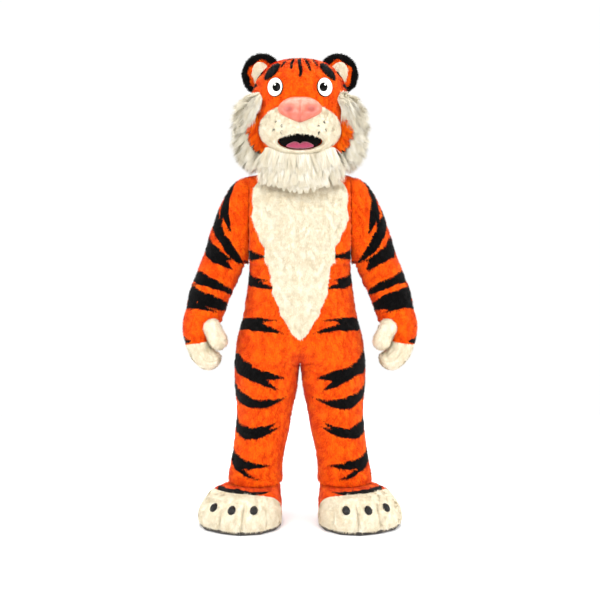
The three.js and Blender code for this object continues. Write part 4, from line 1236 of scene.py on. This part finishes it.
class COSTUME_OT_boots(bpy.types.Operator):
    """Make the boot covers: cream toes and an orange upper, with soles and claws"""

    bl_idname = "costume.boots"
    bl_label = "Boots"

    def execute(self, context):
        columns = int(1100 / cell_mm())
        angle = np.linspace(-180, 180, columns, endpoint=False)[None, :]
        toe_row = np.linspace(0, 1, int(260 / cell_mm()))[:, None] * (boot_border(angle) - 0.012)
        toes = boot_point(np.broadcast_to(angle, toe_row.shape), toe_row)
        grooves = sum(np.exp(-(((angle - a) * 4.6 / 8) ** 2)) for a in (-44, -19.5, 1, 24))
        dip = 17 * grooves * np.clip((toe_row + 0.2) / 0.6, 0, 1) * np.clip((3.9 - toe_row) / 1.6, 0, 1)
        clear = np.full(toes.shape[:2], 99.0)
        for at, level in CLAWS:
            clear = np.minimum(clear, np.linalg.norm(toes - boot_point(np.array(at), np.array(level)), axis=-1))
        furry = clear[:-1] > CLAW_CLEAR
        puff = soft_waver(toes, 45, 1.4) - dip - 4 * (clear < CLAW_CLEAR)
        rise = np.linspace(0, 1, int(190 / cell_mm()))[:, None]
        upper_row = boot_border(angle) + 0.012 + rise * (9 - boot_border(angle) - 0.012)
        upper = boot_point(np.broadcast_to(angle, upper_row.shape), upper_row)
        size_v = row_size(upper, upper_row)
        crumple = 2.6 * np.sin(upper_row * 2.4 + np.radians(angle) * 2) * np.clip((upper_row - 5) / 2, 0, 1)
        crumple = crumple + soft_waver(upper, 36, 1.8)
        around = np.abs(np.broadcast_to(angle, upper_row.shape)) / 90
        for side, hand in ((1, "left"), (-1, "right")):
            mark = stripes(BOOT_STRIPES, around, upper_row, size_v, side)
            cloth(
                f"boot_toes_{hand}_plush", toes, "suit", "cream_plush", [f"boot_toes_{hand}"],
                finish("brushed cream plush"), finish(*CREAM_PILE), side, closed=True, lift=puff,
                furry=furry,
            )
            cloth(
                f"boot_upper_{hand}_plush", upper, "suit", "orange_plush", [f"boot_upper_{hand}"],
                finish("brushed orange plush"), finish(*ORANGE_PILE), side, closed=True, mark=mark,
                lift=crumple,
            )
            dress(f"boot_sole_{hand}", "pebbled EVA foam")
            for k in (1, 2, 3):
                dress(f"claw{k}_{hand}", "moulded black ABS")
        return {"FINISHED"}


# ---- Head -----------------------------------------------------------------------------------


def mouth_outline(t, shrink=0.0):
    up = np.sin(t) > 0
    tall = np.where(up, MOUTH["rise"] * (1 - 0.12 * np.cos(2 * t)), MOUTH["drop"]) - shrink
    return (MOUTH["half"] - shrink) * np.cos(t), MOUTH["z"] + tall * np.sin(t)


def inside_mouth(x, z, grow):
    t = np.arctan2((z - MOUTH["z"]) / MOUTH["drop"], x / MOUTH["half"])
    edge_x, edge_z = mouth_outline(t, -grow)
    return np.hypot(x, z - MOUTH["z"]) < np.hypot(edge_x, edge_z - MOUTH["z"])


def disc(rings, spokes):
    """A round patch's spokes and how far out each ring is, closest first."""
    r = np.repeat(np.linspace(0, 1, rings)[:, None], spokes, 1)
    return r, np.broadcast_to(np.linspace(0, 2 * math.pi, spokes, endpoint=False), r.shape)


def on_head(x, z, reach):
    a = azimuth_of(x, z)
    return head_point(a, z) + head_out(a, z) * np.asarray(reach)[..., None]


def patch(spot, r, t):
    """Places of a leaning oval patch on the face."""
    lean = math.radians(spot.get("lean", 0))
    x, z = spot["half"] * r * np.cos(t), spot["tall"] * r * np.sin(t)
    return spot["x"] + x * math.cos(lean) - z * math.sin(lean), spot["z"] + x * math.sin(lean) + z * math.cos(lean)


def mirrored(points, side):
    return points * np.array((side, 1.0, 1.0))


def pad_piece(name, outer, inner, side, flip, finish_of, slot, nodes, mark=None):
    """A moulded or stuffed pad on the head, closed by its rim."""
    faces = wall_faces(*outer.shape[:2], True, flip != (side < 0))
    points = mirrored(np.stack([outer, inner]), side)
    mark = np.full(outer.shape[:2], -60.0) if mark is None else mark
    piece = new_piece(name, points, faces, finish_of, np.stack([mark, mark]))
    return stand_for(piece, "head", slot, *nodes)


class COSTUME_OT_head(bpy.types.Operator):
    """Make the foam head's plush skin and its muzzle"""

    bl_idname = "costume.head"
    bl_label = "Head"

    def execute(self, context):
        self.skin()
        self.muzzle()
        return {"FINISHED"}

    def skin(self):
        columns, count = int(1330 / cell_mm()), int(620 / cell_mm())
        # rows crowd together at the crown, where the skin turns over
        rows = 2050 - 512 * (1 - np.sin(np.linspace(0, math.pi / 2, count)) ** 1.0)
        rows[-1] = 2050
        azimuth = np.linspace(-180, 180, columns, endpoint=False)[None, :]
        row = np.repeat(rows[:, None], columns, 1)
        azimuth = np.broadcast_to(azimuth, row.shape)
        grid = head_point(azimuth, row)
        normals = head_out(azimuth, row)
        mark = self.marks(np.abs(azimuth), azimuth, row)
        outer = grid + normals * (soft_waver(grid, 80, 1.0) - 1.0)[..., None]
        inner = grid - normals * 9
        keep = ~inside_mouth(grid[..., 0], grid[..., 2], 7) | (np.abs(azimuth) > 90)
        keep = keep[:-1] & np.roll(keep, -1, 1)[:-1] & keep[1:] & np.roll(keep, -1, 1)[1:]
        faces = wall_faces(*row.shape, True, False, keep)
        points = np.stack([outer, inner])
        piece = new_piece("head_plush", points, faces, finish("brushed orange plush"), np.stack([mark, mark]))
        stand_for(piece, "head", "orange_plush", "head_shell")
        coat = finish(*ORANGE_PILE)
        short_pile("head_plush_pile", outer, normals, mark, True, coat, "head", "orange_plush", keep)

    def marks(self, away, azimuth, row):
        around = (away - 80) / 100
        found = stripes(HEAD_STRIPES, around, row, np.ones(row.shape), 0.7)
        found = found - np.maximum(0, 80 - away) * 1.1
        for k in range(len(BROW_STRIPES["azimuth"])):
            low, high = BROW_STRIPES["low"][k], BROW_STRIPES["high"][k]
            s = np.clip((row - low) / (high - low), 0, 1)
            middle = BROW_STRIPES["azimuth"][k] + BROW_STRIPES["lean"][k] * s + 1.1 * np.sin(7 * s + k)
            half = BROW_STRIPES["width"][k] / 2 * np.sin(math.pi * np.clip(s, 0.0, 1) ** 0.7) ** 0.6
            across = np.abs(azimuth - middle) * np.radians(curve(HEAD, "half", np.clip(row, 1538, 2050)))
            found = np.maximum(found, np.where((row > low) & (row < high), half - across, -60))
        return found

    def muzzle(self):
        s, t = disc(int(120 / 4), 150)
        x0, z0 = mouth_outline(t, -0.2)
        x1, z1 = MUZZLE["half"] * np.cos(t), MUZZLE["z"] + MUZZLE["tall"] * np.sin(t)
        share = s**0.85
        x, z = x0 + (x1 - x0) * share, z0 + (z1 - z0) * share
        outer = muzzle_point(x, z, np.full(x.shape, 0.0))
        rim = np.exp(-((s * 70 / 7) ** 2))
        outer[..., 1] += 5 * rim  # the lip rolls in
        inner = on_head(x, z, np.where(s > 0.97, 0.3, 0.35 * muzzle_height(x, z)))
        groove = 4.5 * np.exp(-((x / 5) ** 2)) * (z > MOUTH["z"]) * (z < NOSE["z"] - 20)
        outer[..., 1] += groove
        dots = ((58, 1712), (78, 1727), (84, 1700), (60, 1688))
        mark = np.full(x.shape, -20.0)
        for dot_x, dot_z in dots:
            mark = np.maximum(mark, 3.6 - np.hypot(np.abs(x) - dot_x, z - dot_z))
        piece = pad_piece(
            "muzzle_plush", outer, inner, 1, True, finish("brushed cream plush"), "cream_plush", ["muzzle"], mark
        )
        normals = grid_normals(outer, True, -1)
        below_nose = np.ones((x.shape[0] - 1, x.shape[1]), bool)
        coat = finish(*CREAM_PILE)
        short_pile("muzzle_plush_pile", outer, normals, mark, True, coat, "head", "cream_plush", below_nose)


class COSTUME_OT_face(bpy.types.Operator):
    """Make the eyes, brows, nose, mouth and tongue"""

    bl_idname = "costume.face"
    bl_label = "Face"

    def execute(self, context):
        for side, hand in ((1, "left"), (-1, "right")):
            self.eye(side, hand)
            self.brow(side, hand)
        self.nose()
        self.mouth()
        return {"FINISHED"}

    def eye(self, side, hand):
        r, t = disc(44, 110)
        x, z = patch(EYE, r, t)
        outer = on_head(x, z, 1.0 + EYE["swell"] * np.sqrt(1 - r**2) * 1.02)
        inner = on_head(x, z, np.full(r.shape, -1.5))
        pupil = 15.5 - np.hypot(x - EYE["x"] + 9, (z - EYE["z"] + 3) * 0.84)
        # a white spot left in the pupil is a painted highlight
        painted_glint = 4.2 - np.hypot(x - EYE["x"] + 3, z - EYE["z"] - 7)
        rim = (r - 0.93) * EYE["half"]
        dark = np.maximum(np.minimum(pupil, -painted_glint), rim)
        pad_piece(
            f"eye_{hand}_dome", outer, inner, side, True, finish("gloss printed eye"), "white_plastic",
            [f"eye_{hand}"], dark,
        )

    def brow(self, side, hand):
        r, t = disc(14, 60)
        x, z = patch(BROW, r, t)
        outer = on_head(x, z, 1.0 + BROW["swell"] * np.sqrt(1 - r**2))
        inner = on_head(x, z, np.full(r.shape, -1.5))
        name = f"brow_{hand}_plush"
        piece = pad_piece(
            name, outer, inner, side, True, finish("brushed black plush"), "black_plush", [f"brow_{hand}"]
        )
        normals = mirrored(grid_normals(outer, True, -1), side)
        mark = np.full(r.shape, 20.0)
        coat = finish(*ORANGE_PILE)
        short_pile(name + "_pile", mirrored(outer, side), normals, mark, True, coat, "head", "black_plush")

    def nose(self):
        r, t = disc(30, 144)
        low = np.maximum(0, -np.sin(t))
        narrow = 1 - 0.62 * low**1.4
        top = 1 - 0.14 * np.maximum(0, np.sin(t)) ** 6
        x = NOSE["half"] * r * np.cos(t) * narrow
        z = NOSE["z"] + NOSE["tall"] * r * np.sin(t) * top
        base = muzzle_point(x, z, np.zeros(r.shape))
        normals = grid_normals(base, True, -1)
        normals[0] = normals[1].mean(0)
        normals = unit(normals)
        share = (z - NOSE["z"]) / NOSE["tall"]
        nostril = np.exp(-(((np.abs(x) - 36) / 13) ** 2) - (((z - NOSE["z"] + 13) / 9) ** 2))
        groove = np.exp(-((x / 4.5) ** 2)) * np.clip(0.5 - share, 0, 1)
        height = SEAM + NOSE["swell"] * np.sqrt(1 - r**3) - 7 * nostril * (r < 1) - 6 * groove * (1 - r**4)
        outer = base + normals * np.maximum(height, SEAM)[..., None]
        inner = base - normals * 2
        # painted shade: the vinyl goes darker towards the bottom, in the nostrils and along the groove
        shade = np.clip(0.45 - 0.75 * share, 0, 1) * 0.55 + 0.7 * nostril + 0.35 * groove
        piece = pad_piece(
            "nose_vinyl", outer, inner, 1, True, finish("satin pink vinyl"), "pink_vinyl", ["nose"], shade
        )

    def mouth(self):
        r, t = disc(14, 80)
        x, z = mouth_outline(t, 0.6)
        x, z = x * r, MOUTH["z"] + (z - MOUTH["z"]) * r
        outer = stack(x, -173.0 - 2 * (1 - r**2), z)
        liner = pad_piece(
            "mouth_gauze", outer, outer + (0, 1.2, 0), 1, True, finish("black gauze"), "dark_gauze",
            ["mouth_liner"],
        )
        polar = np.linspace(0, math.pi, 34)[:, None]
        around = np.linspace(0, 2 * math.pi, 64, endpoint=False)[None, :]
        x = 57 * np.sin(polar) * np.cos(around)
        lobes = 17 + 5 * np.exp(-(((np.abs(x) - 27) / 20) ** 2)) - 6 * np.exp(-((x / 7) ** 2))
        z = 1627 + (lobes - 2) * np.sin(polar) * np.sin(around)
        lip = MOUTH["z"] - MOUTH["drop"] * np.sqrt(np.clip(1 - (x / MOUTH["half"]) ** 2, 0, 1)) + 0.6
        blob = stack(x, -204 - 24 * np.cos(polar), np.maximum(z, lip))
        faces = faces_between(*x.shape, True, True)
        tongue = new_piece("tongue_felt", blob, faces, finish("needled tongue felt"))
        stand_for(tongue, "head", "tongue_felt", "tongue")


def outside_head(points, inset):
    """Pushes what lies inside the head's skin out to just under it."""
    z = np.clip(points[..., 2], 1538, 2050)
    half = curve(HEAD, "half", z)
    deep = np.where(points[..., 1] < 0, curve(HEAD, "front", z), curve(HEAD, "back", z))
    share = np.hypot(points[..., 0] / np.maximum(half, 1), points[..., 1] / np.maximum(deep, 1))
    edge = 1 - inset / np.maximum(half, 1)
    push = np.where((share < edge) & (half > 2 * inset), edge / np.maximum(share, 1e-6), 1)
    return points * np.stack([push, push, np.ones_like(push)], -1)


def set_on_ear(points):
    lean, facing = math.radians(EAR["lean"]), math.radians(EAR["facing"])
    x, y, z = np.moveaxis(points, -1, 0)
    x, z = x * math.cos(lean) + z * math.sin(lean), -x * math.sin(lean) + z * math.cos(lean)
    x, y = x * math.cos(facing) - y * math.sin(facing), x * math.sin(facing) + y * math.cos(facing)
    return stack(x + EAR["x"], y + EAR["y"], z + EAR["z"])


class COSTUME_OT_ears(bpy.types.Operator):
    """Make the ears and their cream linings"""

    bl_idname = "costume.ears"
    bl_label = "Ears"

    def execute(self, context):
        profile = np.linspace(0, 7, 40)[:, None]
        around = np.linspace(0, 2 * math.pi, 64, endpoint=False)[None, :]
        radius = curve(EAR_PROFILE, "radius", profile)
        radius[0], radius[-1] = 0, 0
        depth = curve(EAR_PROFILE, "y", profile)
        ear = set_on_ear(stack(radius * np.cos(around), depth, radius * np.sin(around)))
        ear = outside_head(ear, 5)
        rim = np.broadcast_to(np.minimum(radius - 60, 40) + 4 * np.sin(5 * around + 1), ear.shape[:2])
        r, t = disc(16, 60)
        x, z = 40 * r * np.cos(t), 54 * r * np.sin(t)
        dish = np.interp(np.hypot(x, z), (0, 48, 68, 83), (-4, -8, -17, -17))
        front = set_on_ear(stack(x, dish - 2 - 6 * np.sqrt(1 - r**2), z))
        behind = set_on_ear(stack(x, dish + 1, z))
        front, behind = outside_head(front, 1), outside_head(behind, 3)
        for side, hand in ((1, "left"), (-1, "right")):
            faces = faces_between(*ear.shape[:2], True, side < 0)
            name = f"ear_{hand}_plush"
            points = mirrored(ear, side)
            piece = new_piece(name, points, faces, finish("brushed orange plush"), rim)
            stand_for(piece, "head", "orange_plush", f"ear_{hand}")
            normals = mirrored(grid_normals(ear, True, 1), side)
            coat = finish(*ORANGE_PILE)
            short_pile(name + "_pile", points, normals, rim, True, coat, "head", "orange_plush", share=1.3)
            name = f"ear_lining_{hand}_plush"
            lining = pad_piece(
                name, front, behind, side, True, finish("brushed cream plush"), "cream_plush",
                [f"ear_lining_{hand}"],
            )
            normals = mirrored(grid_normals(front, True, -1), side)
            mark = np.full(front.shape[:2], -60.0)
            coat = finish(*CREAM_PILE)
            short_pile(name + "_pile", mirrored(front, side), normals, mark, True, coat, "head", "cream_plush")
        return {"FINISHED"}


def long_pile(name, grid, normals, body, slot, coat, length, density, lean, mark=None, closed=False, droop=0.22):
    """Long pile that hangs in clumps. lean is how the roots are combed, from the cloth's own normal."""
    rng = seed_of(name)
    thin = 1
    mark = np.full(grid.shape[:2], -60.0) if mark is None else mark
    roots, out, value = scatter(grid, normals, mark, closed, density * thin, rng)
    count = len(roots)
    centre = roots[rng.integers(0, count, max(12, count // 45))]
    clump = np.empty(count, int)
    for start in range(0, count, 2000):
        span = roots[start : start + 2000, None] - centre[None]
        clump[start : start + 2000] = (span**2).sum(-1).argmin(1)
    sway = rng.normal(0, 0.22, (len(centre), 3))
    heading = out + np.asarray(lean) + sway[clump] + 0.13 * rng.normal(size=(count, 3))
    reach = length(roots) * rng.uniform(0.72, 1.05, count)
    heading = unit(heading)
    pull = centre[clump] - roots
    heading = unit(heading + 0.55 * pull / np.maximum(reach[:, None], 1))
    tone = rng.random(len(centre))[clump] + rng.normal(0, 0.28, count)
    shade = np.digitize(tone, (0.18, 0.5, 0.95))
    shade = np.where(value > 0, 3, np.minimum(shade, 3 if mark.max() < 0 else 2))
    pile = strands(name, roots, out, heading, reach, 2.3, shade, coat, droop=droop, segments=3)
    return stand_for(pile, body, slot)


class COSTUME_OT_ruff(bpy.types.Operator):
    """Make the ruff, the cheek tufts and the beard in long pile"""

    bl_idname = "costume.ruff"
    bl_label = "Ruff and Beard"

    def execute(self, context):
        for side, hand in ((1, "left"), (-1, "right")):
            self.tuft(side, f"ruff_{hand}", RUFF, "long pile backing", LONG_PILE, "cream_pile", (0.0, 0.1, -0.62), 0.8)
            self.tuft(side, f"cheek_{hand}", CHEEK, "orange pile backing", ORANGE_PILE, "orange_plush", (0.3, 0.1, -0.7), 1.0)
        self.beard()
        return {"FINISHED"}

    def tuft(self, side, node, rows, backing, coat, slot, lean, reach_share):
        row = np.linspace(rows["row"][0], rows["row"][-1], 40)[:, None]
        across = np.linspace(0, 1, 26)[None, :]
        start, end = curve(rows, "start", row), curve(rows, "end", row)
        azimuth = start + (end - start) * across
        row = np.broadcast_to(row, azimuth.shape)
        crown = 0.05 + 0.95 * np.sin(math.pi * across) ** 0.6
        reach = curve(rows, "reach", row) * crown
        base = head_point(azimuth, row)
        out = head_out(azimuth, row)
        outer = base + out * (1.5 + 0.42 * reach)[..., None]
        mark = None
        if node.startswith("cheek"):
            mark = (across - 0.62) * 60 + 0 * azimuth
        faces = wall_faces(*azimuth.shape, False, side < 0)
        points = mirrored(np.stack([outer, base - out * 0.5]), side)
        marks = None if mark is None else np.stack([mark, mark])
        if marks is None:
            marks = np.full((2, *azimuth.shape), -60.0)
        piece = new_piece(f"{node}_backing", points, faces, finish(backing), marks)
        stand_for(piece, "head", slot, node)

        def length(roots):
            level = curve(rows, "reach", np.clip(roots[:, 2], rows["row"][0], rows["row"][-1]))
            return np.maximum(level * reach_share, 16)

        normals = mirrored(grid_normals(outer, False, 1), side)
        lean = (lean[0] * side, lean[1], lean[2])
        outer = mirrored(outer, side)
        long_pile(f"{node}_pile", outer, normals, "head", slot, finish(*coat), length, 195000, lean, mark)

    def beard(self):
        around = np.linspace(-62, 62, 60)[None, :]
        share = np.linspace(0, 1, 22)[:, None]
        top, bottom = curve(BEARD, "top", np.abs(around)), curve(BEARD, "bottom", np.abs(around))
        z = top + 9 + (bottom - top - 9) * share
        azimuth = np.broadcast_to(around, z.shape)
        out = stack(np.sin(np.radians(azimuth)), -np.cos(np.radians(azimuth)), 0)
        base = head_point(azimuth, np.maximum(z, 1562))
        base[..., 2] = z
        thick = curve(BEARD_HANG, "reach", np.broadcast_to(share, z.shape))
        back = curve(BEARD_HANG, "back", np.broadcast_to(share, z.shape))
        outer = base + out * (back + 3 + 0.45 * (thick - back))[..., None]
        inner = base + out * (back - 1)[..., None]
        faces = wall_faces(*z.shape, False, True)
        marks = np.full((2, *z.shape), -60.0)
        piece = new_piece("beard_backing", np.stack([outer, inner]), faces, finish("long pile backing"), marks)
        stand_for(piece, "head", "cream_pile", "beard")
        normals = grid_normals(outer, False, -1)
        drop = sizes().ruff_hair * 1000

        def length(roots):
            return drop * np.clip((roots[:, 2] - 1440) / 90, 0.35, 1)

        coat = finish(*LONG_PILE)
        long_pile("beard_pile", outer, normals, "head", "cream_pile", coat, length, 225000, (0, 0, -1.5))


# ---- Stage ----------------------------------------------------------------------------------


class COSTUME_OT_stage(bpy.types.Operator):
    """Set the floor, the soft studio light and the camera"""

    bl_idname = "costume.stage"
    bl_label = "Stage"

    def execute(self, context):
        scene = context.scene
        floor_z = -SHOULDER_HEIGHT / 1000 - 0.001
        mesh = bpy.data.meshes.new("studio_floor")
        ring = [(3.2 * math.cos(math.radians(a)), 3.2 * math.sin(math.radians(a)), floor_z) for a in range(0, 360, 6)]
        mesh.from_pydata(ring, [], [list(range(len(ring)))])
        floor = bpy.data.objects.new("studio_floor", mesh)
        scene.collection.objects.link(floor)
        material, tree, shader = surface("matt white paper", 0.95, Specular_IOR_Level=0.1)
        grain = noise_at(tree, 300, 2)
        colour = mix(tree, grain, linear("#fdfdfd"), linear("#ffffff"))
        tree.links.new(colour, shader.inputs["Base Color"])
        mesh.materials.append(material)
        world = bpy.data.worlds.new("studio")
        world.use_nodes = True
        tree = world.node_tree
        tree.nodes.clear()
        # the white backdrop itself gives the costume only part of its light
        paper = add_node(tree, "ShaderNodeBackground", {"Color": (1, 1, 1, 1), "Strength": 1.02})
        room = add_node(tree, "ShaderNodeBackground", {"Color": (0.97, 0.985, 1, 1), "Strength": 0.82})
        seen = add_node(tree, "ShaderNodeLightPath").outputs["Is Camera Ray"]
        both = add_node(tree, "ShaderNodeMixShader", {}, {0: seen, 1: room.outputs[0], 2: paper.outputs[0]})
        add_node(tree, "ShaderNodeOutputWorld", {}, {"Surface": both.outputs[0]})
        scene.world = world
        for name, place, size, power in (
            ("key", (-1.7, -4.0, 2.2), 2.4, 100),
            ("fill", (2.6, -3.6, 0.9), 2.4, 62),
            ("top", (0.0, 0.3, 3.2), 3.6, 104),
            ("back", (0.0, 4.0, 1.4), 3.0, 105),
            ("left side", (3.8, -1.2, 0.5), 2.6, 62),
            ("right side", (-3.8, -1.2, 0.5), 2.6, 62),
        ):
            light = bpy.data.lights.new(name, "AREA")
            light.size, light.energy = size, power
            lamp = bpy.data.objects.new(name, light)
            lamp.location = place
            lamp.rotation_euler = (Vector((0, 0, -0.4)) - Vector(place)).to_track_quat("-Z", "Y").to_euler()
            scene.collection.objects.link(lamp)
        lens = bpy.data.cameras.new("camera")
        lens.lens, lens.sensor_width = 63.1, 36
        camera = bpy.data.objects.new("camera", lens)
        camera.location = (0, -4.6, -0.19)
        camera.rotation_euler = (math.radians(90 - 4.08), 0, 0)
        scene.collection.objects.link(camera)
        scene.camera = camera
        scene.view_settings.view_transform = "Standard"
        return {"FINISHED"}


STEPS = (
    COSTUME_OT_suit,
    COSTUME_OT_sleeves,
    COSTUME_OT_zip,
    COSTUME_OT_mitts,
    COSTUME_OT_boots,
    COSTUME_OT_head,
    COSTUME_OT_face,
    COSTUME_OT_ears,
    COSTUME_OT_ruff,
    COSTUME_OT_stage,
)


class COSTUME_PT_panel(bpy.types.Panel):
    """The costume's steps and settings"""

    bl_idname = "COSTUME_PT_panel"
    bl_label = "Tiger Costume"
    bl_space_type = "VIEW_3D"
    bl_region_type = "UI"
    bl_category = "Costume"

    def draw(self, context):
        for group in (context.scene.costume_sizes, context.scene.costume_colours):
            for name in group.__annotations__:
                self.layout.prop(group, name)
        for step in STEPS:
            self.layout.operator(step.bl_idname)


CLASSES = (CostumeSizes, CostumeColours, *STEPS, COSTUME_PT_panel)


def register():
    for cls in CLASSES:
        bpy.utils.register_class(cls)
    bpy.types.Scene.costume_sizes = PointerProperty(type=CostumeSizes)
    bpy.types.Scene.costume_colours = PointerProperty(type=CostumeColours)


def unregister():
    del bpy.types.Scene.costume_sizes
    del bpy.types.Scene.costume_colours
    for cls in reversed(CLASSES):
        bpy.utils.unregister_class(cls)


def main():
    register()
    for step in STEPS:
        getattr(bpy.ops.costume, step.bl_idname.split(".")[1])()


if __name__ == "__main__":
    main()
